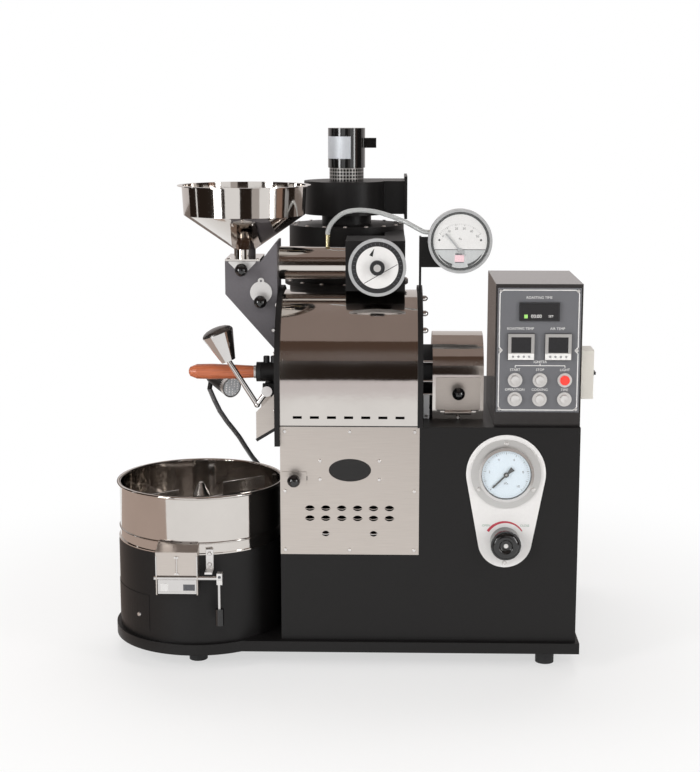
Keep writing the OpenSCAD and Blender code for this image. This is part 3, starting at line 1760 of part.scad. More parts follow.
module control_panel() {
  shrink = 2 * (meter_lap - fit_fixed);
  place() color(GREY) difference() {
    span([face_x0, face_y, face_z], [face_x1, box_y, face_top]);
    face_block(face_mid, face_top - timer_drop, timer_w - shrink, timer_h - shrink,
           face_y - cut, box_y + cut);
    for (side = [-1, 1])
      face_block(meter_mid + side * meter_pitch / 2, face_top - meter_drop,
             meter_w - shrink, meter_w - shrink, face_y - cut, box_y + cut);
    for (i = [-1 : 1], z = [row_a, row_b])
      rod_y(barrel_r + fit_fixed, face_y - cut, box_y + cut, button_mid + i * button_pitch, z);
  }
}

// Framed instrument with its body behind the panel
module instrument(x, z, w, h) {
  face_block(x, z, w, h, face_y - meter_t, face_y);
  face_block(x, z, w - 2 * meter_lap, h - 2 * meter_lap, face_y, face_y + meter_d);
}

module controllers() {
  place() color(BLACK) {
    instrument(face_mid, face_top - timer_drop, timer_w, timer_h);
    instrument(meter_mid - meter_pitch / 2, face_top - meter_drop, meter_w, meter_w);
    instrument(meter_mid + meter_pitch / 2, face_top - meter_drop, meter_w, meter_w);
  }
}

module button_bezels() {
  front = face_y - bezel_h;
  rear = face_y + barrel_l;
  place() color(BLACK)
    for (i = [-1 : 1], z = [row_a, row_b])
      translate([button_mid + i * button_pitch, 0, z]) difference() {
        union() {
          rod_y(bezel_r, front, face_y, 0, 0);
          rod_y(barrel_r, face_y, rear, 0, 0);
        }
        rod_y(cap_r + fit_turn, front - cut, rear - bezel_h, 0, 0);
      }
}

// Push button cap that slides in its barrel
module cap(column, z) {
  front = face_y - bezel_h - cap_h;
  place() color(BLACK)
    rod_y(cap_r, front, face_y + barrel_l - bezel_h - 2 * button_travel,
        button_mid + column * button_pitch, z);
}

module start_button() {
  cap(-1, row_a);
}

module stop_button() {
  cap(0, row_a);
}

module operation_button() {
  cap(-1, row_b);
}

module cooling_button() {
  cap(0, row_b);
}

module time_button() {
  cap(1, row_b);
}

module pilot_light() {
  front = face_y - bezel_h - cap_h;
  place() color(RED) translate([button_mid + button_pitch, 0, row_a]) {
    rod_y(cap_r, front, face_y + barrel_l - bezel_h, 0, 0);
    rod_y(cap_r - cap_h / 2, front - cap_h / 2, front, 0, 0);
  }
}

module breaker() {
  y0 = box_y + breaker_y;
  z0 = top_z + breaker_rise;
  half = breaker_d / 4;
  place() color(IVORY) {
    difference() {
      span([box_end, y0, z0], [breaker_x, y0 + breaker_d, z0 + breaker_h]);
      rod_y(toggle_r + fit_slide, toggle_y - half - fit_side, toggle_y + half + fit_side,
          toggle_x, toggle_z);
    }
    rod_y(pin_r, toggle_y - half - fit_side, toggle_y + half + fit_side, toggle_x, toggle_z);
  }
}

module breaker_toggle() {
  half = breaker_d / 4;
  place() color(BLACK) difference() {
    union() {
      rod_y(toggle_r, toggle_y - half, toggle_y + half, toggle_x, toggle_z);
      span([toggle_x, toggle_y - half, toggle_z - toggle_t / 2],
         [breaker_x + toggle_l, toggle_y + half, toggle_z + toggle_t / 2]);
    }
    rod_y(pin_r + fit_turn, toggle_y - half - cut, toggle_y + half + cut, toggle_x, toggle_z);
  }
}

// Gauges, gas valve and pressure hose

module gauge_plate() {
  // tangent points of the two rounds
  lean = (gas_plate_r - gas_plate_r2) / gas_pitch;
  side = sqrt(1 - lean * lean);
  place() color(WHITE) difference() {
    front_sheet(-gas_plate_t, 0) {
      translate([gas_x, gas_z]) circle(gas_plate_r);
      translate([gas_x, gas_knob_z]) circle(gas_plate_r2);
      polygon([
        [gas_x - gas_plate_r * side, gas_z - gas_plate_r * lean],
        [gas_x - gas_plate_r2 * side, gas_knob_z - gas_plate_r2 * lean],
        [gas_x + gas_plate_r2 * side, gas_knob_z - gas_plate_r2 * lean],
        [gas_x + gas_plate_r * side, gas_z - gas_plate_r * lean]
      ]);
    }
    rod_y(valve_stem_r + fit_side, -gas_plate_t - cut, cut, gas_x, gas_knob_z);
  }
}

// Pin that carries a needle in front of its dial
module needle_pin(x, front, z) {
  rod_y(needle_pin_r, front + 2 * lens_t, front + dial_depth, x, z);
}

// Needle that points up, turned clockwise by an angle
module needle(x, front, z, reach, turn) {
  y0 = front + 2 * lens_t + needle_t / 2;
  translate([x, 0, z]) difference() {
    union() {
      rod_y(needle_hub_r, y0, y0 + needle_t, 0, 0);
      rotate([0, turn, 0])
        span([-needle_w / 2, y0, -needle_hub_r * 2], [needle_w / 2, y0 + needle_t, reach]);
    }
    rod_y(needle_pin_r + fit_turn, y0 - cut, y0 + needle_t + cut, 0, 0);
  }
}

module gas_gauge() {
  place() color(STEEL) {
    difference() {
      union() {
        rod_y(gas_flange_r, -gas_plate_t - gas_flange_t, -gas_plate_t, gas_x, gas_z);
        rod_y(gas_bezel_r, gas_front, -gas_plate_t, gas_x, gas_z);
      }
      rod_y(gas_bezel_r - bezel_t, gas_front - cut, gas_front + dial_depth, gas_x, gas_z);
    }
    needle_pin(gas_x, gas_front, gas_z);
  }
}

module gas_needle() {
  place() color(BLACK) needle(gas_x, gas_front, gas_z, gas_needle_l, -135);
}

module gas_knob() {
  rear = -gas_plate_t - gas_knob_gap;
  place() color(BLACK) {
    rod_y(gas_knob_r, rear - gas_knob_h, rear, gas_x, gas_knob_z);
    rod_y(valve_stem_r, rear, cab_t + valve_d / 2, gas_x, gas_knob_z);
  }
}

// Gas valve and the two hose barbs
module brass_fittings() {
  place() color(BRASS) {
    difference() {
      span([gas_x - valve_w / 2, cab_t, gas_knob_z - valve_w / 2],
         [gas_x + valve_w / 2, cab_t + valve_d, gas_knob_z + valve_w / 2]);
      rod_y(valve_stem_r + fit_turn, cab_t - cut, cab_t + valve_d / 2 + fit_side, gas_x, gas_knob_z);
    }
    difference() {
      rod_z(hose_r, pipe_z, barb_top, barb_x, drum_y);
      rod_x(pipe_r, barb_x - pipe_r, barb_x + pipe_r, drum_y, pipe_z);
    }
    difference() {
      rod_x(hose_r, dp_barb_x, dp_x - dp_case_r / 2, dp_barb_y, dp_barb_z);
      rod_y(dp_case_r, dp_y, dp_back + cut, dp_x, dp_z);
    }
  }
}

module dp_gauge() {
  place() color(BLACK) {
    difference() {
      union() {
        rod_y(dp_r, dp_y, dp_y + dp_bezel_h, dp_x, dp_z);
        rod_y(dp_case_r, dp_y + dp_bezel_h, dp_back, dp_x, dp_z);
      }
      rod_y(dp_r - bezel_t, dp_y - cut, dp_y + dial_depth, dp_x, dp_z);
    }
    needle_pin(dp_x, dp_y, dp_z - dp_pin_drop);
  }
}

module dp_needle() {
  place() color(RED) needle(dp_x, dp_y, dp_z - dp_pin_drop, dp_needle_l, -dp_angle / 2);
}

module pressure_hose() {
  place() color(CLEAR) sweep(hose_route, hose_r);
}

base_plate();
feet();
cabinet();
front_panel();
air_shutter();
burner();
brass_fittings();
gauge_plate();
gas_gauge();
gas_needle();
gas_knob();
cooling_tower();
cooling_bowl();
cooling_screen();
gear_motors();
agitator();
gate_chute();
gate_lever();
end_plates();
drum_cover();
drum();
drum_shaft();
shaft_bearings();
gear_cover();
gear_door();
bean_chute();
hopper();
hopper_gate();
sight_cover();
discharge_chute();
discharge_door();
discharge_lever();
tryer_bush();
tryer_scoop();
tryer_handle();
work_lamp();
lenses();
exhaust_pipe();
damper_body();
damper_plate();
damper_dial();
cyclone();
blower_housing();
blower_impeller();
blower_motor();
control_box();
control_panel();
controllers();
button_bezels();
start_button();
stop_button();
operation_button();
cooling_button();
time_button();
pilot_light();
breaker();
breaker_toggle();
dp_gauge();
dp_needle();
pressure_hose();
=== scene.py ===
"""Looks of a drum coffee roaster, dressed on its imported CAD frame.

Meshes are in metres in the row frame: +X to the right, +Y to the back, +Z up.
The classes hold their sizes in millimetres, as a maker reads them off a drawing,
and the studio's are in metres.
"""

import logging
import math
from dataclasses import dataclass, field
from enum import Enum
from typing import Callable, Protocol, Sequence

import bmesh
import bpy
from bpy.types import Material, Mesh, Node, NodeSocket, NodeTree, Object
from mathutils import Matrix, Vector


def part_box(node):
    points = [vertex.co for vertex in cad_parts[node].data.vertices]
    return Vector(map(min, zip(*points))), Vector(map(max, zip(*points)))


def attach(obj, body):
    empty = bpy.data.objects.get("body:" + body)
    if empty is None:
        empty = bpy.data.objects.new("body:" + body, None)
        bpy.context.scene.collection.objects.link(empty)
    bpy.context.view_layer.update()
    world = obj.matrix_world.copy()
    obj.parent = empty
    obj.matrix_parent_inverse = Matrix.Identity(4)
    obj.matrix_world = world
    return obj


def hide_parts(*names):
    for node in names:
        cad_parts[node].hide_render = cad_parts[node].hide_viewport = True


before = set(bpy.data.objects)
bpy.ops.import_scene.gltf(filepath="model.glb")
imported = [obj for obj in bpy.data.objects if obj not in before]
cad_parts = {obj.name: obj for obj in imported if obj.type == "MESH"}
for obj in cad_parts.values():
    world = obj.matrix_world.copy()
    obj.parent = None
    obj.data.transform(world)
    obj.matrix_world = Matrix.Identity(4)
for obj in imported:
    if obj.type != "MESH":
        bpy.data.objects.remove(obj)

LOG = logging.getLogger("roaster")
MM = 0.001
# Thickness of printed marks, and half that of printed letters, in millimetres.
INK_RISE = 0.15
LETTER_RISE = 0.05
# Distance within which a turned form's points are one, in millimetres, and the angle of a sharp edge.
WELD = 0.005
CREASE = 35.0

Pair = tuple[float, float]
Triple = tuple[float, float, float]
Profile = tuple[Pair, ...]
Test = Callable[[Vector], bool]


class Body(Enum):
    """CAD bodies that made pieces ride on."""

    FRAME = "frame_body"
    DAMPER = "damper_rotor"
    KNOB = "gas_knob_body"
    START = "start_body"
    STOP = "stop_body"
    OPERATION = "operation_body"
    COOLING = "cooling_body"
    TIME = "time_body"
    GATE = "cooling_gate_body"
    NEEDLE = "gas_needle_body"
    TRYER = "tryer_body"
    DISCHARGE = "discharge_body"


class Facing(Enum):
    """Turns that bring a part drawn facing +Z to face a side of the machine."""

    FRONT = (math.pi / 2, 0.0, 0.0)
    LEFT = (0.0, -math.pi / 2, 0.0)
    RIGHT = (0.0, math.pi / 2, 0.0)
    UP = (0.0, 0.0, 0.0)


@dataclass(frozen=True)
class Box:
    """Axis-aligned room that a CAD node takes.

    Attributes:
        lo: Lowest corner.
        hi: Highest corner.
    """

    lo: Vector
    hi: Vector

    @classmethod
    def of(cls, node: str) -> "Box":
        """Return the room of a CAD node at rest."""
        return cls(*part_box(node))

    @property
    def mid(self) -> Vector:
        """Middle of the box."""
        return (self.lo + self.hi) / 2


def linear(code: str) -> tuple[float, float, float, float]:
    """Turn an sRGB hex colour into the linear values that shaders take.

    Args:
        code: Colour such as "#2b2a2b".

    Returns:
        Linear red, green, blue and an alpha of one.
    """
    parts = [int(code[i : i + 2], 16) / 255 for i in (1, 3, 5)]
    line = [c / 12.92 if c <= 0.04045 else ((c + 0.055) / 1.055) ** 2.4 for c in parts]
    return (line[0], line[1], line[2], 1.0)


def add_node(tree: NodeTree, kind: str, inputs: dict | None = None, **settings: object) -> Node:
    """Add a node, set it up and link it.

    Args:
        tree: Tree that takes the node.
        kind: Node type name.
        inputs: Input name or number to a value, or to the output that feeds it.
        **settings: Properties of the node itself.

    Returns:
        The new node.
    """
    node = tree.nodes.new(kind)
    for name, value in settings.items():
        setattr(node, name, value)
    for key, value in (inputs or {}).items():
        if isinstance(value, NodeSocket):
            tree.links.new(value, node.inputs[key])
        else:
            node.inputs[key].default_value = value
    return node


@dataclass(frozen=True)
class Finish:
    """A surface with fine colour, gloss and height changes.

    Attributes:
        name: What the surface is made of and how.
        color: Main colour.
        tint: Second colour that the grain mixes in.
        roughness: Lowest roughness.
        spread: Roughness that the grain adds.
        metallic: One for bare metal.
        grain_mm: Size of the grain.
        stretch: Length of the grain along each axis, against its size.
        relief_mm: Height of the grain.
        coat: Clear coat weight.
        glow: Emission strength.
        clear: Transmission weight.
        ior: Refractive index, only set on clear stuff.
        see: Share of a thin clear sheet that still shows, one for solid stuff.
        edge_mm: Radius by which edges look rounded, zero for none.
        shine: Strength of the shine off a coat, a half for plain smooth stuff.
    """

    name: str
    color: str
    tint: str
    roughness: float
    spread: float = 0.1
    metallic: float = 0.0
    grain_mm: float = 3.0
    stretch: Triple = (1.0, 1.0, 1.0)
    relief_mm: float = 0.0
    coat: float = 0.0
    glow: float = 0.0
    clear: float = 0.0
    ior: float = 1.5
    see: float = 1.0
    edge_mm: float = 0.0
    shine: float = 0.5

    def material(self) -> Material:
        """Return this finish as a material, made once."""
        made = bpy.data.materials.get(self.name)
        if not made:
            made = bpy.data.materials.new(self.name)
            made.use_nodes = True
            self.wire(made.node_tree)
        return made

    def cells(self, tree: NodeTree, size_mm: float) -> NodeSocket:
        """Count the piece's own places in grains.

        Args:
            tree: Material tree.
            size_mm: Size of one grain.

        Returns:
            Output with the counted places.
        """
        place = add_node(tree, "ShaderNodeTexCoord").outputs["Object"]
        scale = [1 / (size_mm * MM * s) for s in self.stretch]
        return add_node(tree, "ShaderNodeMapping", {"Vector": place, "Scale": scale}).outputs[0]

    def grain(self, tree: NodeTree) -> NodeSocket:
        """Return the fine noise that drives the surface, from zero to one."""
        look = {"Vector": self.cells(tree, self.grain_mm), "Scale": 1.0, "Detail": 4.0, "Roughness": 0.55}
        return add_node(tree, "ShaderNodeTexNoise", look).outputs["Fac"]

    def wire(self, tree: NodeTree) -> None:
        """Link the grain to colour, roughness and relief.

        Args:
            tree: Material tree, as a new material has it.
        """
        shader = tree.nodes["Principled BSDF"]
        grain = self.grain(tree)
        # The mixer names its number, vector and colour sockets alike, so its colours go by place.
        tones = {"Factor": grain, 6: linear(self.color), 7: linear(self.tint)}
        mix = add_node(tree, "ShaderNodeMix", tones, data_type="RGBA").outputs[2]
        span = {"Value": grain, "To Min": self.roughness, "To Max": self.roughness + self.spread}
        tree.links.new(mix, shader.inputs["Base Color"])
        tree.links.new(add_node(tree, "ShaderNodeMapRange", span).outputs[0], shader.inputs["Roughness"])
        plain = {"Metallic": self.metallic}
        if not self.metallic:
            plain["Specular IOR Level"] = self.shine
        if self.coat:
            plain |= {"Coat Weight": self.coat, "Coat Roughness": self.roughness / 2}
        if self.glow:
            tree.links.new(mix, shader.inputs["Emission Color"])
            plain["Emission Strength"] = self.glow
        if self.clear:
            plain |= {"Transmission Weight": self.clear, "IOR": self.ior}
        if self.see < 1:
            plain["Alpha"] = self.see
        for socket, value in plain.items():
            shader.inputs[socket].default_value = value
        normal = None
        if self.edge_mm:
            normal = add_node(tree, "ShaderNodeBevel", {"Radius": self.edge_mm * MM}, samples=4).outputs[0]
        if self.relief_mm:
            bump = add_node(tree, "ShaderNodeBump", {"Height": grain, "Distance": self.relief_mm * MM})
            if normal:
                tree.links.new(normal, bump.inputs["Normal"])
            normal = bump.outputs[0]
        if normal:
            tree.links.new(normal, shader.inputs["Normal"])


@dataclass(frozen=True)
class TurnedWood(Finish):
    """Oiled hardwood turned on a lathe: long growth lines along the handle.

    Attributes:
        ring_mm: Distance between growth rings.
    """

    ring_mm: float = 4.0

    def grain(self, tree: NodeTree) -> NodeSocket:
        """Add growth rings that wander along the handle's length.

        Args:
            tree: Material tree.

        Returns:
            Output from zero to one.
        """
        look = {"Vector": self.cells(tree, self.ring_mm), "Scale": 0.5, "Distortion": 5.0}
        look |= {"Detail": 3.0, "Detail Scale": 1.2}
        return add_node(tree, "ShaderNodeTexWave", look, bands_direction="Z").outputs["Fac"]


@dataclass(frozen=True)
class PerforatedSheet(Finish):
    """Sheet punched with round holes in a square pattern, seen as dark dots.

    Attributes:
        pitch_mm: Distance between holes.
        hole: Radius of a hole, against the pitch.
        blur: Width of a hole's edge, against the pitch.
    """

    pitch_mm: float = 5.0
    hole: float = 0.3
    blur: float = 0.08

    def layout(self, tree: NodeTree) -> NodeSocket:
        """Return places on the sheet, counted in cells of the pattern."""
        return self.cells(tree, self.pitch_mm)

    def grain(self, tree: NodeTree) -> NodeSocket:
        """Add one dot in each cell of the pattern.

        Args:
            tree: Material tree.

        Returns:
            Zero in a hole and one on the web.
        """
        look = {"Vector": self.layout(tree), "Scale": 1.0, "Randomness": 0.0}
        away = add_node(tree, "ShaderNodeTexVoronoi", look).outputs["Distance"]
        edge = {"Value": away, "From Min": self.hole, "From Max": self.hole + self.blur}
        return add_node(tree, "ShaderNodeMapRange", edge).outputs[0]


@dataclass(frozen=True)
class RolledSheet(PerforatedSheet):
    """Punched sheet rolled round an upright axis, with a whole number of holes round it.

    Attributes:
        axis_mm: Place of the axis in the row frame, across and back.
        round: Holes in one turn.
    """

    axis_mm: Pair = (0.0, 0.0)
    round: int = 24

    def layout(self, tree: NodeTree) -> NodeSocket:
        """Unroll the sheet.

        Args:
            tree: Material tree.

        Returns:
            Places on the unrolled sheet, counted in cells of the pattern.
        """
        place = add_node(tree, "ShaderNodeTexCoord").outputs["Object"]
        off = [-self.axis_mm[0] * MM, -self.axis_mm[1] * MM, 0.0]
        moved = add_node(tree, "ShaderNodeMapping", {"Vector": place, "Location": off})
        x, y, z = add_node(tree, "ShaderNodeSeparateXYZ", {0: moved.outputs[0]}).outputs
        turn = add_node(tree, "ShaderNodeMath", {0: y, 1: x}, operation="ARCTAN2").outputs[0]
        share = self.round / (2 * math.pi)
        along = add_node(tree, "ShaderNodeMath", {0: turn, 1: share}, operation="MULTIPLY")
        rows = 1 / (self.pitch_mm * MM)
        up = add_node(tree, "ShaderNodeMath", {0: z, 1: rows}, operation="MULTIPLY")
        return add_node(tree, "ShaderNodeCombineXYZ", {0: along.outputs[0], 1: up.outputs[0]}).outputs[0]


# Baked powder coat: an even satin black with a slight orange peel. The peel is
# drawn at 4 mm, coarser than the real 1 mm, so that it shows at this distance.
BLACK_COAT = Finish(
    "satin black powder coat", "#131212", "#1b1a1a", 0.36, 0.12,
    grain_mm=4, relief_mm=0.03, edge_mm=1.2, shine=0.25,
)
# Smooth enamel of the control box, which mirrors pale surroundings at a slant.
ENAMEL = Finish(
    "smooth black enamel", "#1f1d1d", "#282525", 0.15, 0.08,
    grain_mm=9, relief_mm=0.02, coat=0.4, edge_mm=1.5,
)
# The same coat in dark grey on the bean chute.
GREY_COAT = Finish(
    "dark grey powder coat", "#575458", "#625f63", 0.40, 0.12, grain_mm=4, relief_mm=0.03, edge_mm=0.8
)
# Polished stainless sheet: a warm mirror whose long, shallow waves bend what it shows.
MIRROR = Finish(
    "polished stainless sheet", "#d8d3ce", "#cdc8c3", 0.05, 0.05, 1.0, grain_mm=70, relief_mm=0.12
)
# Number 4 brushed stainless: short scratches along the sheet. They are drawn
# 0.8 mm wide, not 0.1 mm, so that they show.
BRUSHED = Finish(
    "brushed stainless sheet", "#d2cac3", "#bfb7b0", 0.28, 0.14, 1.0,
    grain_mm=0.8, stretch=(60, 1, 1), relief_mm=0.004,
)
# Turned and ground steel of shafts, rods and rings: fine lines round the work.
TURNED = Finish("turned steel", "#c9c5c1", "#aaa6a2", 0.16, 0.14, 1.0, grain_mm=1.2, stretch=(1, 1, 12))
# Bright chrome plate on the lever, its weight and small knobs: a clean mirror.
CHROME = Finish("chrome plate", "#dcdad8", "#cfccca", 0.04, 0.05, 1.0, grain_mm=30)
# Bead-blasted chrome of button rings, screw heads and small plates: bright from every side.
SATIN = Finish("satin chrome", "#eae8e6", "#dcdad8", 0.34, 0.10, 1.0, grain_mm=2.0)
# Silver-grey lacquer on die-cast instrument rings: even, with a soft shine.
LACQUER = Finish("silver-grey lacquer", "#aeafb0", "#a3a4a5", 0.30, 0.10, grain_mm=2, coat=0.2)
# Rolled steel of the drum, darkened by heat in brown patches.
HEATED = Finish("heat-darkened steel", "#4a423b", "#2d2723", 0.42, 0.2, 1.0, grain_mm=14, relief_mm=0.05)
# Sand-cast iron, rough and nearly black.
CAST = Finish("sand-cast iron", "#3a3a3b", "#2a2a2b", 0.55, 0.2, 0.6, grain_mm=2.5, relief_mm=0.25)
# Burnished steel of the counterweight's dome: a dark, soft mirror.
BURNISHED = Finish("burnished steel", "#7c7a79", "#5f5d5c", 0.20, 0.10, 1.0, grain_mm=9)
# Die-cast alloy with a light grey skin and rounded edges.
ALLOY = Finish(
    "die-cast alloy", "#b4b5b7", "#a2a3a6", 0.30, 0.12, 1.0, grain_mm=3, relief_mm=0.02, edge_mm=0.8
)
# Turned brass under a thin nickel plate, which leaves it pale.
BRASS = Finish("nickel-plated brass", "#dcd2ac", "#c8bc92", 0.20, 0.12, 1.0, grain_mm=1.0, stretch=(8, 8, 1))
# Oiled reddish hardwood with long growth lines.
WOOD = TurnedWood(
    "oiled red hardwood", "#d0774d", "#a04c2b", 0.30, 0.14, stretch=(18, 1, 1), relief_mm=0.04, coat=0.25
)
# Moulded rubber of the feet: dull, with a fine pebble.
RUBBER = Finish("moulded rubber", "#1d1d1e", "#262627", 0.62, 0.15, grain_mm=2, relief_mm=0.06)
# Pressed phenolic balls and grips: deep gloss black.
PHENOLIC = Finish("pressed phenolic", "#0b0b0c", "#111112", 0.08, 0.06, grain_mm=6, coat=0.5)
# Satin black plastic of instrument cases.
ABS = Finish("moulded black plastic", "#1c1c1e", "#242426", 0.34, 0.12, grain_mm=1.5, relief_mm=0.02)
# Ivory thermoset of the breaker case: pale and faintly mottled.
IVORY = Finish("ivory thermoset", "#f2efe7", "#eae6dc", 0.32, 0.12, grain_mm=3, relief_mm=0.02, edge_mm=0.8)
# Printed satin panel of the control box: an even grey.
PANEL = Finish("printed grey panel", "#626367", "#6b6c70", 0.36, 0.12, grain_mm=1.2, relief_mm=0.01)
# Screen-printed white plates and dials: an even white with a soft shine.
WHITE = Finish("white printed plate", "#e6e5e4", "#dedddc", 0.30, 0.10, grain_mm=5)
# Pale blue-white dial paper of the gas gauge.
DIAL_BLUE = Finish("pale blue dial", "#dfeaf2", "#d5e3ee", 0.40, 0.10, grain_mm=5)
# Gloss black enamel of the blower's motor.
GLOSS_BLACK = Finish("gloss black enamel", "#131313", "#1a1a1a", 0.08, 0.08, grain_mm=12, coat=0.5)
# Satin aluminium of instrument frames: faint lines across.
PLATE_ALLOY = Finish(
    "satin aluminium plate", "#d6d5d3", "#c6c5c3", 0.28, 0.1, 1.0, grain_mm=0.8, stretch=(30, 1, 1)
)
# Frosted lower cover of the pressure gauge: pale, with upright streaks.
COVER_GREY = Finish(
    "frosted clear cover", "#cbcdce", "#b3b6b7", 0.35, 0.1, grain_mm=9, stretch=(0.6, 1, 4)
)
# Bare aluminium plate on the motor: pale and bluish, with a soft sheen.
LABEL = Finish("bare aluminium label", "#d9dde2", "#c3c8ce", 0.45, 0.1, 0.35, grain_mm=3)
# Screen-printed inks: even colour with a dull shine.
INK_PINK = Finish("pink print", "#f3cfd6", "#eec6ce", 0.40, 0.10)
INK_GREEN = Finish("grey-green print", "#86a391", "#7d9a88", 0.40, 0.10)
INK_GREY = Finish("dark grey print", "#4c4d51", "#525357", 0.40, 0.10)
INK_BLACK = Finish("black print", "#1a1a1b", "#202021", 0.40, 0.10)
INK_WHITE = Finish("white print", "#ecebe9", "#e4e3e1", 0.40, 0.10)
INK_RED = Finish("red print", "#b93a4b", "#b03444", 0.40, 0.10)
# Red acrylic of the pilot light, with the lamp behind it lit low.
RED_LENS = Finish("red acrylic", "#d8322c", "#e4483c", 0.12, 0.06, coat=0.4, glow=0.35)
# Smoked window of the instruments: dark, with a clear shine.
SMOKED = Finish("smoked acrylic", "#17181b", "#1f2024", 0.08, 0.06, coat=0.4)
# Lit mark of the timer's display.
LED_GREEN = Finish("green display digits", "#8fc26a", "#86ba60", 0.4, 0.05, glow=0.5)
# Float glass and polished lenses: a shine and hardly any colour.
GLASS = Finish("clear float glass", "#f4f8f8", "#eef4f4", 0.0, 0.02, grain_mm=40, see=0.05)
# Soft clear vinyl hose, a little milky.
VINYL = Finish("clear vinyl hose", "#c8cac9", "#c2c4c3", 0.22, 0.08, grain_mm=20, clear=0.35, coat=0.3)
# Punched steel of the motor guard: dark holes in a bright web.
PUNCHED = RolledSheet(
    "punched steel guard", "#070707", "#a9a7a4", 0.34, 0.10, 0.6,
    pitch_mm=7.0, hole=0.34, axis_mm=(-16.25, 184.0), round=34,
)
# Heat-proof window: dark brown and mostly opaque, with a faint shine.
FLAME_GLASS = Finish("dark heat-proof glass", "#1b1817", "#131110", 0.05, 0.03, grain_mm=30, see=0.8)
# Strip wound into a hose and plated: a soft bright line between dark edges.
HOSE = Finish("plated gooseneck", "#a3a4a6", "#737476", 0.32, 0.10, 0.6, grain_mm=2.5)
# Punched stainless floor of the cooling tray: dark holes in a grey web.
SIEVE = PerforatedSheet("punched stainless floor", "#1c1b1a", "#b9b2ac", 0.30, 0.10, 0.9, pitch_mm=4.0)
# Faceted lamp reflector: a bright bowl with a dot for each facet. Its glow is painted light: the lamp is not
# lit, and the glow keeps the disc bright in the shade of the lamp head.
REFLECTOR = PerforatedSheet("faceted lamp reflector", "#ffffff", "#c3c7cb", 0.3, 0.1, glow=0.16)


class Slot(Enum):
    """Material slots of the record."""

    BLACK = "black_coat"
    STEEL = "brushed_steel"
    TURNED = "turned_steel"
    WHITE = "white_plate"
    PLASTIC = "black_plastic"
    PANEL = "panel_grey"
    MIRROR = "mirror_steel"
    HOSE = "hose"
    WOOD = "wood"


def paint(node: str, finish: Finish, *patches: tuple[Test, Finish]) -> None:
    """Give a CAD node its finish, and other finishes to some of its faces.

    Args:
        node: CAD node name.
        finish: Finish of the whole node.
        *patches: Test of a face's middle, and the finish where it holds.
    """
    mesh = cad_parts[node].data
    printed(mesh, finish)
    for number, (test, other) in enumerate(patches, 1):
        mesh.materials.append(other.material())
        for face in mesh.polygons:
            if test(face.center):
                face.material_index = number
    LOG.info("dressed %s in %s", node, finish.name)


def printed(mesh: Mesh, finish: Finish) -> Mesh:
    """Give a mesh one finish.

    Args:
        mesh: The mesh.
        finish: Its finish.

    Returns:
        The same mesh.
    """
    mesh.materials.clear()
    mesh.materials.append(finish.material())
    return mesh


def stand(name: str, data: bpy.types.ID) -> Object:
    """Add an object to the scene.

    Args:
        name: Object name.
        data: Its mesh, curve, lamp or camera.

    Returns:
        The new object.
    """
    made = bpy.data.objects.new(name, data)
    bpy.context.collection.objects.link(made)
    return made


def settled(holder: Object) -> Mesh:
    """Turn an object's curve or modifiers into a plain mesh.

    Args:
        holder: The object, which is removed.

    Returns:
        The mesh that it shows.
    """
    ready = holder.evaluated_get(bpy.context.evaluated_depsgraph_get())
    mesh = bpy.data.meshes.new_from_object(ready)
    holder.modifiers.clear()
    bpy.data.objects.remove(holder)
    return mesh


def keep(name: str, mesh: Mesh, body: Body, finish: Finish | None = None) -> Object:
    """Add a made piece to the scene and to its body.

    Args:
        name: Piece name.
        mesh: Its mesh, in the row frame.
        body: Body that it moves with.
        finish: Finish of the whole piece, or none if the mesh has its own.

    Returns:
        The piece's object.
    """
    if finish:
        printed(mesh, finish)
    piece = stand(name, mesh)
    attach(piece, body.value)
    LOG.info("made %s with %d faces", name, len(mesh.polygons))
    return piece


def keep_set(name: str, meshes: Sequence[Mesh], body: Body) -> None:
    """Join meshes into one piece that keeps each one's finish.

    Args:
        name: Piece name.
        meshes: Meshes in the row frame, each with one finish.
        body: Body that the piece moves with.
    """
    form = bmesh.new()
    mesh = bpy.data.meshes.new(name)
    for number, part in enumerate(meshes):
        before = len(form.faces)
        form.from_mesh(part)
        form.faces.ensure_lookup_table()
        for face in form.faces[before:]:
            face.material_index = number
        mesh.materials.append(part.materials[0])
    form.to_mesh(mesh)
    form.free()
    keep(name, mesh, body)


def closed(form: bmesh.types.BMesh, name: str) -> Mesh:
    """Turn a form's faces outward and make it a mesh.

    Args:
        form: The form, which is freed.
        name: Mesh name.

    Returns:
        The mesh.
    """
    bmesh.ops.recalc_face_normals(form, faces=form.faces)
    mesh = bpy.data.meshes.new(name)
    form.to_mesh(mesh)
    form.free()
    return mesh


def wall(form: bmesh.types.BMesh, low: Sequence[Vector], high: Sequence[Vector]) -> None:
    """Add a plate between two outlines to a form.

    Args:
        form: Form that takes the plate.
        low: Corners of one side in order.
        high: Corners of the other side.
    """
    sides = [[form.verts.new(p) for p in side] for side in (low, high)]
    for side in sides:
        form.faces.new(side)
    first, last = sides
    for i in range(len(first)):
        j = (i + 1) % len(first)
        form.faces.new((first[i], first[j], last[j], last[i]))


def flat_mesh(name: str, outline: Sequence[Vector], rise: Vector) -> Mesh:
    """Make a flat plate from its outline.

    Args:
        name: Mesh name.
        outline: Corners in order.
        rise: Thickness as a vector.

    Returns:
        Closed mesh of the plate.
    """
    form = bmesh.new()
    wall(form, outline, [p + rise for p in outline])
    return closed(form, name)


def block(name: str, lo: Vector, hi: Vector) -> Mesh:
    """Return a box between two corners."""
    across = ((lo.x, lo.z), (hi.x, lo.z), (hi.x, hi.z), (lo.x, hi.z))
    return flat_mesh(name, [Vector((x, lo.y, z)) for x, z in across], Vector((0, hi.y - lo.y, 0)))


def rod(radius: float, length: float) -> Profile:
    """Return the profile of a plain rod."""
    return ((0, 0), (radius, 0), (radius, length), (0, length))


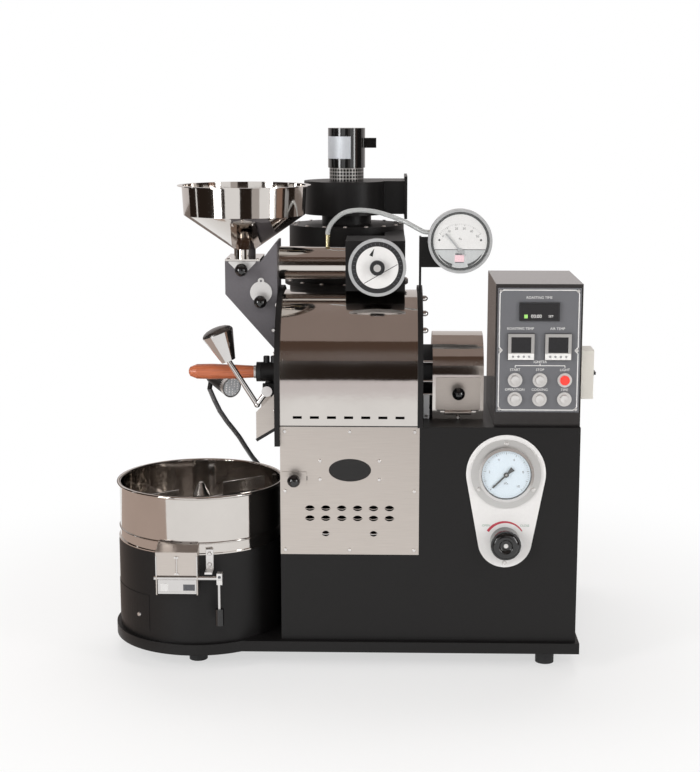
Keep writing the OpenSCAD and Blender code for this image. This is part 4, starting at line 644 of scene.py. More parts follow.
def lathe(name: str, profile: Sequence[Pair], place: Matrix, steps: int = 64) -> Mesh:
    """Turn a profile round the local Z axis and put it in place.

    Args:
        name: Mesh name.
        profile: Radius and height pairs in millimetres, from one end to the other.
        place: Local to row frame.
        steps: Sides of the turned form.

    Returns:
        Smooth mesh with closed poles.
    """
    form = bmesh.new()
    points = [form.verts.new((r * MM, 0, z * MM)) for r, z in profile]
    edges = [form.edges.new(pair) for pair in zip(points, points[1:])]
    axis, middle, turn = (0, 0, 1), (0, 0, 0), 2 * math.pi
    bmesh.ops.spin(form, geom=points + edges, axis=axis, cent=middle, angle=turn, steps=steps)
    bmesh.ops.remove_doubles(form, verts=form.verts, dist=WELD * MM)
    mesh = closed(form, name)
    mesh.transform(place)
    mesh.shade_smooth()
    mesh.set_sharp_from_angle(angle=math.radians(CREASE))
    return mesh


def facing(spot: Vector, side: Facing) -> Matrix:
    """Put a part drawn facing +Z at a spot.

    Args:
        spot: Place of the part's foot.
        side: Side that it faces.

    Returns:
        Local to row frame.
    """
    turn = Matrix.Identity(3)
    for angle, axis in zip(side.value, "XYZ"):
        turn = Matrix.Rotation(angle, 3, axis) @ turn
    return Matrix.Translation(spot) @ turn.to_4x4()


def aimed(spot: Vector, aim: Vector) -> Matrix:
    """Return the matrix that puts a part drawn facing +Z at a spot, facing along a direction."""
    return Matrix.Translation(spot) @ aim.to_track_quat("Z", "Y").to_matrix().to_4x4()


def lettering(words: str, height: float, spot: Vector, finish: Finish) -> Mesh:
    """Make plain words as thin raised print that faces the front.

    Args:
        words: Text to set.
        height: Letter size in millimetres.
        spot: Middle of the line.
        finish: Ink.

    Returns:
        Mesh of the letters in the row frame.
    """
    curve = bpy.data.curves.new("lettering", "FONT")
    curve.body = words
    curve.size = height * MM
    curve.align_x = "CENTER"
    curve.align_y = "CENTER"
    curve.extrude = LETTER_RISE * MM
    curve.resolution_u = 3
    mesh = settled(stand("lettering", curve))
    mesh.transform(facing(spot, Facing.FRONT))
    return printed(mesh, finish)


@dataclass
class Pattern:
    """Geometry Nodes tree that is run once and kept as a plain mesh.

    Attributes:
        name: Tree name.
        sizes: Named inputs and their values.
        tree: The tree itself.
        inlet: Its node of inputs.
    """

    name: str
    sizes: dict[str, float | int]
    tree: NodeTree = field(init=False)
    inlet: Node = field(init=False)

    def __post_init__(self) -> None:
        """Make the empty tree with its named inputs."""
        self.tree = bpy.data.node_groups.new(self.name, "GeometryNodeTree")
        face = self.tree.interface
        face.new_socket("Geometry", in_out="INPUT", socket_type="NodeSocketGeometry")
        face.new_socket("Geometry", in_out="OUTPUT", socket_type="NodeSocketGeometry")
        for key, value in self.sizes.items():
            kind = "NodeSocketInt" if isinstance(value, int) else "NodeSocketFloat"
            face.new_socket(key, in_out="INPUT", socket_type=kind)
        self.inlet = add_node(self.tree, "NodeGroupInput")

    def size(self, key: str) -> NodeSocket:
        """Return the output of a named input."""
        return self.inlet.outputs[key]

    def math(self, kind: str, a: object, b: object = 0.0) -> NodeSocket:
        """Add a sum of two values.

        Args:
            kind: Operation, such as "MULTIPLY".
            a: First value or output.
            b: Second value or output.

        Returns:
            Output of the sum.
        """
        return add_node(self.tree, "ShaderNodeMath", {0: a, 1: b}, operation=kind).outputs[0]

    def set_on(self, points: NodeSocket, shape: Node, turn: object, finish: Finish) -> None:
        """Set a shape on points, and end the tree with real geometry and its material.

        Args:
            points: Points that take the shape.
            shape: Node that makes it.
            turn: Turn of the shape, or the output that gives each one's turn.
            finish: Finish of all the shapes.
        """
        copies = {"Points": points, "Instance": shape.outputs[0], "Rotation": turn}
        laid = add_node(self.tree, "GeometryNodeInstanceOnPoints", copies).outputs[0]
        solid = add_node(self.tree, "GeometryNodeRealizeInstances", {0: laid}).outputs[0]
        coat = {"Geometry": solid, "Material": finish.material()}
        done = add_node(self.tree, "GeometryNodeSetMaterial", coat).outputs[0]
        add_node(self.tree, "NodeGroupOutput", {0: done})

    def run(self, seeds: Sequence[Vector]) -> Mesh:
        """Run the tree on a set of points.

        Args:
            seeds: Points that the tree starts from.

        Returns:
            Plain mesh with its material.
        """
        cloud = bpy.data.meshes.new(self.name)
        cloud.from_pydata([tuple(p) for p in seeds], [], [])
        holder = stand(self.name, cloud)
        step = holder.modifiers.new(self.name, "NODES")
        step.node_group = self.tree
        for item in self.tree.interface.items_tree:
            if item.in_out == "INPUT" and item.name in self.sizes:
                step[item.identifier] = self.sizes[item.name]
        mesh = settled(holder)
        # The points bring an empty material slot of their own, which goes.
        coat = mesh.materials[-1]
        mesh.materials.clear()
        mesh.materials.append(coat)
        mesh.polygons.foreach_set("material_index", [0] * len(mesh.polygons))
        return mesh


def screw_heads(spots: Sequence[Vector], radius: float, side: Facing, finish: Finish) -> Mesh:
    """Set low pan-head screws on given spots.

    Args:
        spots: Middles of the heads, on the surface.
        radius: Head radius in millimetres.
        side: Side that the heads face.
        finish: Finish of the heads.

    Returns:
        Mesh of all the heads.
    """
    made = Pattern("screw heads", {"Radius": radius * MM, "Height": radius * MM / 2, "Top": 0.72})
    form = {
        "Vertices": 20,
        "Radius Top": made.math("MULTIPLY", made.size("Radius"), made.size("Top")),
        "Radius Bottom": made.size("Radius"),
        "Depth": made.size("Height"),
    }
    head = add_node(made.tree, "GeometryNodeMeshCone", form)
    made.set_on(made.size("Geometry"), head, side.value, finish)
    return made.run(spots)


def vent_lips(spots: Sequence[Vector], lip: Triple, finish: Finish) -> Mesh:
    """Lay a turned-in lip across the mouth of each vent.

    Args:
        spots: Lowest point of each lip.
        lip: Half width, drop of the middle and half thickness, in millimetres.
        finish: Finish of the lips.

    Returns:
        Mesh of all the lips.
    """
    reach, sag, wire = (size * MM for size in lip)
    bend = (reach**2 + sag**2) / (2 * sag)
    made = Pattern("vent lips", {"Bend": bend, "Half": math.asin(reach / bend), "Wire": wire})
    lowest = 1.5 * math.pi
    bow = {
        "Resolution": 12,
        "Radius": made.size("Bend"),
        "Start Angle": made.math("SUBTRACT", lowest, made.size("Half")),
        "Sweep Angle": made.math("MULTIPLY", made.size("Half"), 2.0),
    }
    line = add_node(made.tree, "GeometryNodeCurveArc", bow)
    section = {"Resolution": 6, "Radius": made.size("Wire")}
    ring = add_node(made.tree, "GeometryNodeCurvePrimitiveCircle", section)
    sweep = {"Curve": line.outputs[0], "Profile Curve": ring.outputs[0], "Fill Caps": True}
    shape = add_node(made.tree, "GeometryNodeCurveToMesh", sweep)
    made.set_on(made.size("Geometry"), shape, Facing.FRONT.value, finish)
    return made.run([spot + Vector((0, 0, bend)) for spot in spots])


def at(x: float, y: float, z: float) -> Vector:
    """Return a place given in millimetres from the cabinet's left wall, its front and the floor."""
    corner = Box.of("cabinet").lo
    return Vector((corner.x + x * MM, corner.y + y * MM, z * MM))


def front_of(node: str) -> float:
    """Return how far a node's front lies behind the cabinet's front, in millimetres."""
    return (Box.of(node).lo.y - Box.of("cabinet").lo.y) / MM


def ball(x: float, y: float, z: float, radius: float = 12.9) -> Test:
    """Return a test for the faces of a ball knob, by its middle and reach in millimetres."""
    middle = at(x, y, z)
    return lambda p: (p - middle).length < radius * MM


def front_disc(
    x: float, y: float, z: float, outer: float, inner: float = 0.0, rise: float = INK_RISE
) -> Mesh:
    """Make a thin disc or ring that faces the front.

    Args:
        x: Middle, in millimetres.
        y: Depth of its back face.
        z: Middle.
        outer: Outer radius.
        inner: Radius of its hole, zero for none.
        rise: Thickness.

    Returns:
        Mesh in the row frame.
    """
    if inner:
        profile = [(inner, 0), (inner, rise), (outer, rise), (outer, 0), (inner, 0)]
    else:
        profile = rod(outer, rise)
    return lathe("disc", profile, facing(at(x, y, z), Facing.FRONT))


@dataclass(frozen=True)
class Slab:
    """A small plate or block between two corners, in millimetres as at() takes them.

    Attributes:
        name: What it is.
        lo: Its left, front and lower corner.
        hi: Its right, back and upper corner.
        finish: Its finish.
    """

    name: str
    lo: Triple
    hi: Triple
    finish: Finish

    def mesh(self) -> Mesh:
        """Return the slab as a mesh in its finish."""
        return printed(block(self.name, at(*self.lo), at(*self.hi)), self.finish)


def plate(x0: float, x1: float, z0: float, z1: float, back: float, rise: float = INK_RISE) -> Mesh:
    """Return a thin upright plate between two corners in millimetres, on a surface at the given depth."""
    return block("plate", at(x0, back - rise, z0), at(x1, back, z1))


def stroke(points: Sequence[Pair], width: float, back: float, ends: float | None = None) -> Mesh:
    """Draw a printed line along points on an upright face.

    Args:
        points: Points across and up, in millimetres.
        width: Width at the start.
        back: Depth of the printed face.
        ends: Width at the end, the same as the start if none.

    Returns:
        One thin mesh.
    """
    last = width if ends is None else ends
    form = bmesh.new()
    count = len(points) - 1
    for i in range(count):
        a, b = Vector(points[i]), Vector(points[i + 1])
        along = (b - a).normalized()
        across = Vector((-along.y, along.x))
        near, far = (across * (width + (last - width) * (i + k) / count) / 2 for k in (0, 1))
        corners = (a + near, a - near, b - far, b + far)
        sides = ([at(c.x, depth, c.y) for c in corners] for depth in (back - INK_RISE, back))
        wall(form, *sides)
    return closed(form, "stroke")


def around(x: float, z: float, radius: float, turns: Sequence[float]) -> list[Pair]:
    """Return a place round a middle for each angle in degrees."""
    angles = [math.radians(turn) for turn in turns]
    return [(x + radius * math.cos(a), z + radius * math.sin(a)) for a in angles]


def arc(x: float, z: float, radius: float, start: float, end: float) -> list[Pair]:
    """Return points on an arc.

    Args:
        x: Middle across.
        z: Middle up.
        radius: Radius.
        start: First angle in degrees, from the right and upward.
        end: Last angle.

    Returns:
        Points across and up.
    """
    steps = 24
    return around(x, z, radius, [start + (end - start) * i / steps for i in range(steps + 1)])


@dataclass(frozen=True)
class Scale:
    """Rows of marks and numbers round a dial that faces the front.

    Attributes:
        start: Angle of the first mark in degrees, from the right and upward.
        sweep: Angle from the first mark to the last.
        rows: Radius of the marks' middles, their length, their width and their number, for each row.
        numbers: Radius of the numbers, their letter size and the step from one to the next.
        count: How many numbers there are.
    """

    start: float
    sweep: float
    rows: tuple[tuple[float, float, float, int], ...]
    numbers: tuple[float, float, int] = (0.0, 0.0, 0)
    count: int = 0

    def marks(self, middle: Triple, finish: Finish) -> list[Mesh]:
        """Print the rows of marks.

        Args:
            middle: Middle of the dial on its face, in millimetres.
            finish: Ink.

        Returns:
            One mesh for each row.
        """
        made = []
        for radius, length, width, count in self.rows:
            tree = Pattern("dial marks", {
                "Radius": radius * MM, "Length": length * MM, "Width": width * MM, "Rise": INK_RISE * MM,
                "Start": math.radians(self.start), "Sweep": math.radians(self.sweep), "Count": count,
            })
            mesh = self.row(tree, finish)
            mesh.transform(facing(at(*middle), Facing.FRONT))
            made.append(mesh)
        return made

    def row(self, made: Pattern, finish: Finish) -> Mesh:
        """Lay one row of marks round the origin.

        Args:
            made: Tree with the row's sizes.
            finish: Ink.

        Returns:
            Mesh of the row.
        """
        tree = made.tree
        sides = {i: made.size(key) for i, key in enumerate(("Length", "Width", "Rise"))}
        size = add_node(tree, "ShaderNodeCombineXYZ", sides).outputs[0]
        mark = add_node(tree, "GeometryNodeMeshCube", {"Size": size})
        line = add_node(tree, "GeometryNodeMeshLine", {"Count": made.size("Count"), "Offset": (0, 0, 0)})
        index = add_node(tree, "GeometryNodeInputIndex").outputs[0]
        share = made.math("DIVIDE", index, made.math("SUBTRACT", made.size("Count"), 1.0))
        turn = made.math("ADD", made.math("MULTIPLY", share, made.size("Sweep")), made.size("Start"))
        spot = {i: made.math("MULTIPLY", made.math(way, turn), made.size("Radius"))
                for i, way in enumerate(("COSINE", "SINE"))}
        place = add_node(tree, "ShaderNodeCombineXYZ", spot).outputs[0]
        spread = add_node(tree, "GeometryNodeSetPosition", {"Geometry": line.outputs[0], "Position": place})
        aim = add_node(tree, "ShaderNodeCombineXYZ", {2: turn}).outputs[0]
        made.set_on(spread.outputs[0], mark, aim, finish)
        return made.run([Vector()])

    def figures(self, middle: Triple, finish: Finish) -> list[Mesh]:
        """Print the numbers, from zero up.

        Args:
            middle: Middle of the dial on its face, in millimetres.
            finish: Ink.

        Returns:
            One mesh for each number.
        """
        x, y, z = middle
        radius, height, step = self.numbers
        turns = [self.start + self.sweep * i / (self.count - 1) for i in range(self.count)]
        spots = around(x, z, radius, turns)
        return [
            lettering(str(step * i), height, at(across, y, up), finish)
            for i, (across, up) in enumerate(spots)
        ]


@dataclass
class Shell:
    """Base pan, cabinet and brushed front panel.

    Attributes:
        shutter_knob: Middle of the air shutter's ball knob.
        screw: Radius of the panel's screw heads.
        inset: Distance of the screws from the panel's edges.
        window: Half width and half height between the window's screws.
        middle: Height of the window's middle.
        vent_rows: Depth of each vent row below the panel's top.
        vents: Vents in a row.
        vent_pitch: Distance between vents.
        vent_lip: Half width, drop and half thickness of the lip in a vent.
        lip_drop: Depth of that lip's lowest point below its row.
        peeps: Distance of the peep holes from the middle, and their lips' depth below the panel's top.
        peep_lip: Half width, drop and half thickness of the lip in a peep hole.
        lip_back: Distance of the lips from the panel's back.
    """

    shutter_knob: Triple = (27.0, -23.8, 377.5)
    screw: float = 3.6
    inset: float = 9.0
    window: Pair = (56.0, 18.0)
    middle: float = 393.5
    vent_rows: Pair = (157.7, 177.4)
    vents: int = 6
    vent_pitch: float = 30.2
    vent_lip: Triple = (9.7, 2.4, 0.8)
    lip_drop: float = 1.9
    peeps: Pair = (45.5, 208.6)
    peep_lip: Triple = (7.7, 1.6, 1.7)
    lip_back: float = 0.7

    def dress(self) -> None:
        """Give the sheet metal its coats."""
        paint("base_plate", BLACK_COAT)
        paint("feet", RUBBER)
        paint("cabinet", BLACK_COAT)
        paint("front_panel", BRUSHED)
        paint("air_shutter", BRUSHED, (ball(*self.shutter_knob), PHENOLIC))
        paint("burner", CAST)
        paint("brass_fittings", BRASS)

    def build(self) -> None:
        """Set the screws of the panel and its window, and the lips of the vents and peep holes."""
        room = Box.of("front_panel")
        mid = room.mid
        edge = self.inset * MM
        across = (room.lo.x + edge, mid.x, room.hi.x - edge)
        down = (room.lo.z + edge, mid.z, room.hi.z - edge)
        spots = [Vector((x, room.lo.y, z)) for x in across for z in down if (x, z) != (mid.x, mid.z)]
        wide, high = self.window
        for i in (-1, 1):
            for j in (-1, 1):
                spots.append(Vector((mid.x + i * wide * MM, room.lo.y, (self.middle + j * high) * MM)))
        heads = screw_heads(spots, self.screw, Facing.FRONT, SATIN)
        keep("panel_screws", heads, Body.FRAME)
        sides = [(i - (self.vents - 1) / 2) * self.vent_pitch for i in range(self.vents)]
        vents = [(side, drop + self.lip_drop) for drop in self.vent_rows for side in sides]
        peeps = [(i * self.peeps[0], self.peeps[1]) for i in (-1, 1)]
        back = room.hi.y - self.lip_back * MM
        for name, lows, lip, finish in (
            ("vent_lips", vents, self.vent_lip, BRUSHED),
            ("peep_lips", peeps, self.peep_lip, CHROME),
        ):
            spots = [Vector((mid.x + side * MM, back, room.hi.z - drop * MM)) for side, drop in lows]
            keep(name, vent_lips(spots, lip, finish), Body.FRAME)


@dataclass
class Drum:
    """Roasting drum, its polished covers and the drive.

    Attributes:
        door_knob: Middle of the gear door's ball knob.
        axis: Depth and height of the drum's axis.
        bolt: Radius of the end plates' bolt heads.
        ring: Radius of the bolt ring on the plates.
        edges: Outer faces of the left and right plate.
        left_turns: Angles of the left plate's bolts.
        right_turns: Angles of the right plate's nuts.
        nut: Profile of an acorn nut, as radius and height.
        stud: Radius and depth of a stay bolt beside the gear cover.
        studs: Heights of the stay bolts.
        bracket: Corners of the bracket beside the gear cover, from the right plate, the cover and the floor.
        small_bolt: Radius of the bolt heads on the bracket and on the lug.
        bolt_rise: Height of the bracket's bolt above its foot.
        lug_rise: Height of the lug's bolt above the gear cover's foot.
        shade_strip: Height and thickness of the dark strip on the front of the drum cover's foot, a painted
            shadow of the gap under the cover.
    """

    door_knob: Triple = (338.0, 58.7, 530.0)
    axis: Pair = (157.0, 560.0)
    bolt: float = 4.5
    ring: float = 158.0
    edges: Pair = (-10.0, 269.0)
    left_turns: tuple[float, ...] = (20, 60, 120, 160, 200, 340)
    right_turns: tuple[float, ...] = (110.5, 128, 142.5)
    nut: Profile = ((0, 0), (5.5, 0), (5.5, 5), (4.4, 7.6), (2.4, 9.4), (0, 10))
    stud: Pair = (2.4, 96.0)
    studs: Triple = (521.6, 547.6, 585.6)
    bracket: tuple[Triple, Triple] = ((3.0, 5.0, 478.0), (14.0, 9.0, 525.0))
    small_bolt: float = 3.6
    bolt_rise: float = 5.0
    lug_rise: float = 4.0
    shade_strip: Pair = (1.8, 0.3)

    def dress(self) -> None:
        """Give the drum and its covers their metals."""
        paint("drum_cover", MIRROR)
        paint("end_plates", BLACK_COAT)
        paint("drum", HEATED)
        paint("drum_shaft", TURNED)
        paint("shaft_bearings", CAST)
        paint("gear_cover", MIRROR)
        paint("gear_door", BRUSHED, (ball(*self.door_knob), PHENOLIC))
        paint("gear_motors", ALLOY)

    def on_ring(self, edge: float, turns: Sequence[float]) -> list[Vector]:
        """Return a place on a plate's bolt ring for each angle."""
        return [at(edge, y, z) for y, z in around(*self.axis, self.ring, turns)]

    def build(self) -> None:
        """Set the plates' bolts, the stay bolts, the gear fittings and the painted shadow strip on the
        cover's foot.
        """
        left, right = self.edges
        bolts = [screw_heads(self.on_ring(left, self.left_turns), self.bolt, Facing.LEFT, SATIN)]
        for spot in self.on_ring(right, self.right_turns):
            bolts.append(printed(lathe("nut", self.nut, facing(spot, Facing.RIGHT), steps=24), CHROME))
        keep_set("plate_bolts", bolts, Body.FRAME)
        gear = Box.of("gear_cover")
        radius, depth = self.stud
        stay = rod(radius, (gear.lo.x - at(right, 0, 0).x) / MM)
        rods = [
            printed(lathe("stud", stay, facing(at(right, depth, height), Facing.RIGHT), steps=20), CHROME)
            for height in self.studs
        ]
        keep_set("stay_bolts", rods, Body.FRAME)
        foot, top = (Vector((at(right + x, 0, 0).x, gear.lo.y + y * MM, z * MM)) for x, y, z in self.bracket)
        bolt = Vector(((foot.x + top.x) / 2, foot.y, foot.z + self.bolt_rise * MM))
        lug = Vector((gear.mid.x, gear.lo.y, gear.lo.z + self.lug_rise * MM))
        fittings = [
            printed(block("bracket", foot, top), LACQUER),
            screw_heads([bolt], self.small_bolt, Facing.FRONT, CHROME),
            screw_heads([lug], self.small_bolt, Facing.FRONT, SATIN),
        ]
        keep_set("gear_fittings", fittings, Body.FRAME)
        # A thin dark strip in the rubber finish on the cover's foot: painted shadow of the gap between the
        # cover and the panel below.
        cover = Box.of("drum_cover")
        rise, thick = (size * MM for size in self.shade_strip)
        foot = Vector((cover.lo.x, cover.lo.y - thick, cover.lo.z))
        top = Vector((cover.hi.x, cover.lo.y, cover.lo.z + rise))
        keep("cover_shade_strip", block("cover_shade_strip", foot, top), Body.FRAME, RUBBER)


@dataclass
class BeanPath:
    """Hopper, chute, sight glass, tryer and discharge.

    Attributes:
        gate_knob: Middle of the hopper gate's ball knob.
        cover_knob: Middle of the sight cover's ball knob.
        head: Radius of the bolt heads on the chute and on the hopper's flange.
        bolts: Places of the chute's bolts, across and up.
        flange: Reach of the flange's bolts to each side, their distance from its front, and its thickness.
        cone: Outline of the hopper's cone, as radius and height above the flange's foot.
        edging: Ends of the black edging under the trough's side, across and up.
        edging_width: Width of that edging.
        neck: Small end of the counterweight.
        tip: Large end of the counterweight.
        dome: Profile of the cap on the counterweight.
        grip: End of the tryer's handle at its bush.
        sleeve: Profile of the wood round the handle's neck.
        ferrule: Profile of the ring at the handle's end.
        collar: Feet of the screws on the tryer's collar.
        thumbscrew: Profile of such a screw.
    """

    gate_knob: Triple = (-76.5, 74.7, 764.0)
    cover_knob: Triple = (-41.0, 76.7, 703.0)
    head: float = 4.0
    bolts: tuple[Pair, ...] = ((-18.0, 646.0),)
    flange: Triple = (27.0, 12.0, 3.3)
    cone: Profile = ((21.3, 18.3), (20.5, 18.3), (20.5, 41.6), (117.2, 85.6), (117.4, 85.2), (21.3, 18.3))
    edging: tuple[Pair, Pair] = ((-10.0, 455.0), (-53.0, 429.0))
    edging_width: float = 6.0
    neck: Triple = (-98.0, 30.0, 597.0)
    tip: Triple = (-118.0, 30.0, 649.0)
    dome: Profile = ((30.0, -0.4), (29.2, 2.6), (26, 6.2), (19.5, 9.4), (10, 11.5), (0, 12.2))
    grip: Triple = (-51.25, 90.0, 566.0)
    sleeve: Profile = (
        (0, 0.3), (11.6, 0.3), (11.8, 5), (12.4, 18), (13.1, 32), (13.8, 46), (14.0, 56), (13.5, 64), (0, 64),
    )
    ferrule: Profile = ((0, 0.1), (12.7, 0.1), (12.7, 3.6), (11.9, 4.4), (0, 4.4))
    collar: tuple[Triple, ...] = ((-31.0, 90.0, 584.0), (-17.0, 90.0, 584.0))
    thumbscrew: Profile = ((0, 0), (6.2, 0), (6.2, 11.6), (5.2, 13), (0, 13))

    def dress(self) -> None:
        """Give the bean path its finishes."""
        paint("bean_chute", GREY_COAT)
        paint("hopper", MIRROR)
        paint("hopper_gate", SATIN, (ball(*self.gate_knob), PHENOLIC))
        paint("sight_cover", SATIN, (ball(*self.cover_knob), PHENOLIC))
        paint("discharge_chute", BRUSHED)
        paint("discharge_door", CAST)
        paint("discharge_lever", CHROME)
        paint("tryer_bush", ABS)
        paint("tryer_scoop", TURNED)
        paint("tryer_handle", WOOD)

    def build(self) -> None:
        """Set the bolts and the cone of the hopper, the edging, the weight's cap and the tryer's fittings."""
        front = Box.of("bean_chute").lo.y
        spots = [Vector((at(x, 0, 0).x, front, z * MM)) for x, z in self.bolts]
        keep("chute_bolts", screw_heads(spots, self.head, Facing.FRONT, SATIN), Body.FRAME)
        hopper = Box.of("hopper")
        reach, inset, thick = (size * MM for size in self.flange)
        spots = [Vector((hopper.mid.x + i * reach, front + inset, hopper.lo.z + thick)) for i in (-1, 1)]
        keep("flange_bolts", screw_heads(spots, self.head, Facing.UP, CHROME), Body.FRAME)
        place = Matrix.Translation((hopper.mid.x, hopper.mid.y, hopper.lo.z))
        keep("hopper_cone", lathe("hopper_cone", self.cone, place, steps=96), Body.FRAME, MIRROR)
        edging = stroke(self.edging, self.edging_width, front_of("discharge_chute"))
        keep("chute_edging", edging, Body.FRAME, RUBBER)
        tip = at(*self.tip)
        cap = lathe("weight_cap", self.dome, aimed(tip, tip - at(*self.neck)), steps=48)
        keep("weight_cap", cap, Body.DISCHARGE, BURNISHED)
        grip = facing(at(*self.grip), Facing.LEFT)
        keep("handle_neck", lathe("handle_neck", self.sleeve, grip, steps=48), Body.TRYER, WOOD)
        keep("ferrule", lathe("ferrule", self.ferrule, grip, steps=48), Body.TRYER, SATIN)
        screws = [
            printed(lathe("screw", self.thumbscrew, facing(at(*foot), Facing.UP), steps=24), ABS)
            for foot in self.collar
        ]
        keep_set("collar_screws", screws, Body.FRAME)


def sector(middle: Vector, inner: float, outer: float, span: Pair, height: float) -> Mesh:
    """Make an upright curved plate round a vertical axis.

    Args:
        middle: Foot of the axis.
        inner: Inner radius in millimetres.
        outer: Outer radius in millimetres.
        span: First and last angle in degrees, from +X toward +Y.
        height: Height in millimetres.

    Returns:
        Closed mesh.
    """
    ends = [arc(0, 0, r, *span) for r in (outer, inner)]
    outline = [middle + Vector((x, y, 0)) * MM for x, y in ends[0] + ends[1][::-1]]
    return flat_mesh("sector", outline, Vector((0, 0, height * MM)))


@dataclass
class Cooling:
    """Cooling tower, bowl, sieve, agitator and outlet gate.

    Attributes:
        axis: Middle of the tray.
        tower: Radius of the tower.
        cover: Foot and height of the service cover.
        skin: How far the service cover reaches into the tower and out of it.
        reach: First and last angle of the service cover.
        screw: Profile of the service cover's screws.
        screw_turns: Angles of those screws.
        screw_rise: Height of the screws above the cover's foot.
        spring: Foot of the spring on the outlet chute.
        spring_size: Radius and length of the spring.
        chute_slabs: Clips, straps and bracket on the chute.
        chute_screws: Places of the bracket's screws.
        chute_screw: Radius of their heads.
        flap_slabs: Label, badge and lip of the flap, and the clamp of its lever.
        socket: Middle of the dark disc on the clamp's bolt, painted shade in its socket.
        socket_shade_size: Radius and thickness of that disc.
        grip_top: Top of the gate lever's grip.
    """

    axis: Pair = (-167.5, 134.0)
    tower: float = 163.5
    cover: Pair = (73.0, 72.0)
    skin: Pair = (0.4, 0.8)
    reach: Pair = (165.0, 238.0)
    screw: Profile = ((0, 0), (4.2, 0), (3.4, 2.4), (0, 2.6))
    screw_turns: Pair = (180.0, 228.5)
    screw_rise: float = 29.0
    spring: Triple = (-192.5, -61.2, 204.0)
    spring_size: Pair = (1.6, 35.0)
    chute_slabs: tuple[Slab, ...] = (
        Slab("lower clip", (-196.5, -62.6, 204.0), (-188.5, -60.0, 207.0), SATIN),
        Slab("upper clip", (-196.5, -62.6, 236.0), (-188.5, -60.0, 239.0), SATIN),
        Slab("left strap", (-232.0, -61.4, 202.0), (-230.0, -60.0, 240.0), CHROME),
        Slab("right strap", (-155.0, -61.4, 202.0), (-153.0, -60.0, 240.0), CHROME),
        Slab("tab", (-140.0, -58.0, 204.0), (-126.0, -25.0, 208.0), SATIN),
        Slab("bracket", (-140.0, -32.0, 204.0), (-126.0, -25.0, 245.0), SATIN),
    )
    chute_screws: tuple[Triple, ...] = ((-133.0, -32.0, 216.0), (-133.0, -32.0, 237.0))
    chute_screw: float = 4.4
    flap_slabs: tuple[Slab, ...] = (
        Slab("label", (-181.0, -56.4, 171.5), (-159.0, -56.0, 183.5), INK_GREY),
        Slab("badge", (-224.0, -56.6, 170.0), (-209.0, -56.0, 185.0), SATIN),
        Slab("lip", (-228.5, -57.2, 166.2), (-156.5, -56.0, 168.8), CHROME),
        Slab("clamp", (-117.0, -62.6, 185.0), (-106.5, -49.0, 207.0), SATIN),
    )
    socket: Triple = (-111.75, -62.6, 200.0)
    socket_shade_size: Pair = (3.0, 0.2)
    grip_top: float = 136.5

    def dress(self) -> None:
        """Give the cooling tray its finishes."""
        paint("cooling_tower", BLACK_COAT)
        paint("cooling_bowl", MIRROR)
        paint("cooling_screen", SIEVE)
        paint("agitator", TURNED)
        paint("gate_chute", BRUSHED)
        paint("gate_lever", CHROME, (lambda p: p.z < self.grip_top * MM, PHENOLIC))

    def build(self) -> None:
        """Hang the tower's service cover with its screws, and fit the gate."""
        x, y = self.axis
        foot, height = self.cover
        into, out = self.tower - self.skin[0], self.tower + self.skin[1]
        sheet = sector(at(x, y, foot), into, out, self.reach, height)
        keep("service_cover", sheet, Body.FRAME, BLACK_COAT)
        middle = at(x, y, foot + self.screw_rise)
        heads = []
        for across, back in around(x, y, out, self.screw_turns):
            spot = at(across, back, foot + self.screw_rise)
            head = lathe("cover screw", self.screw, aimed(spot, spot - middle), steps=20)
            heads.append(printed(head, SATIN))
        keep_set("cover_screws", heads, Body.FRAME)
        self.fit_gate()

    def fit_gate(self) -> None:
        """Add the fittings of the outlet chute, and those of its flap and lever."""
        spring = lathe("spring", rod(*self.spring_size), facing(at(*self.spring), Facing.UP), steps=16)
        screws = [at(*spot) for spot in self.chute_screws]
        still = [
            printed(spring, CHROME),
            *(slab.mesh() for slab in self.chute_slabs),
            screw_heads(screws, self.chute_screw, Facing.FRONT, CHROME),
        ]
        keep_set("gate_fittings", still, Body.FRAME)
        # A dark grey disc on the clamp's bolt: painted shade in its socket.
        radius, thick = self.socket_shade_size
        socket = front_disc(*self.socket, radius, rise=thick)
        moving = [*(slab.mesh() for slab in self.flap_slabs), printed(socket, INK_GREY)]
        keep_set("flap_fittings", moving, Body.GATE)


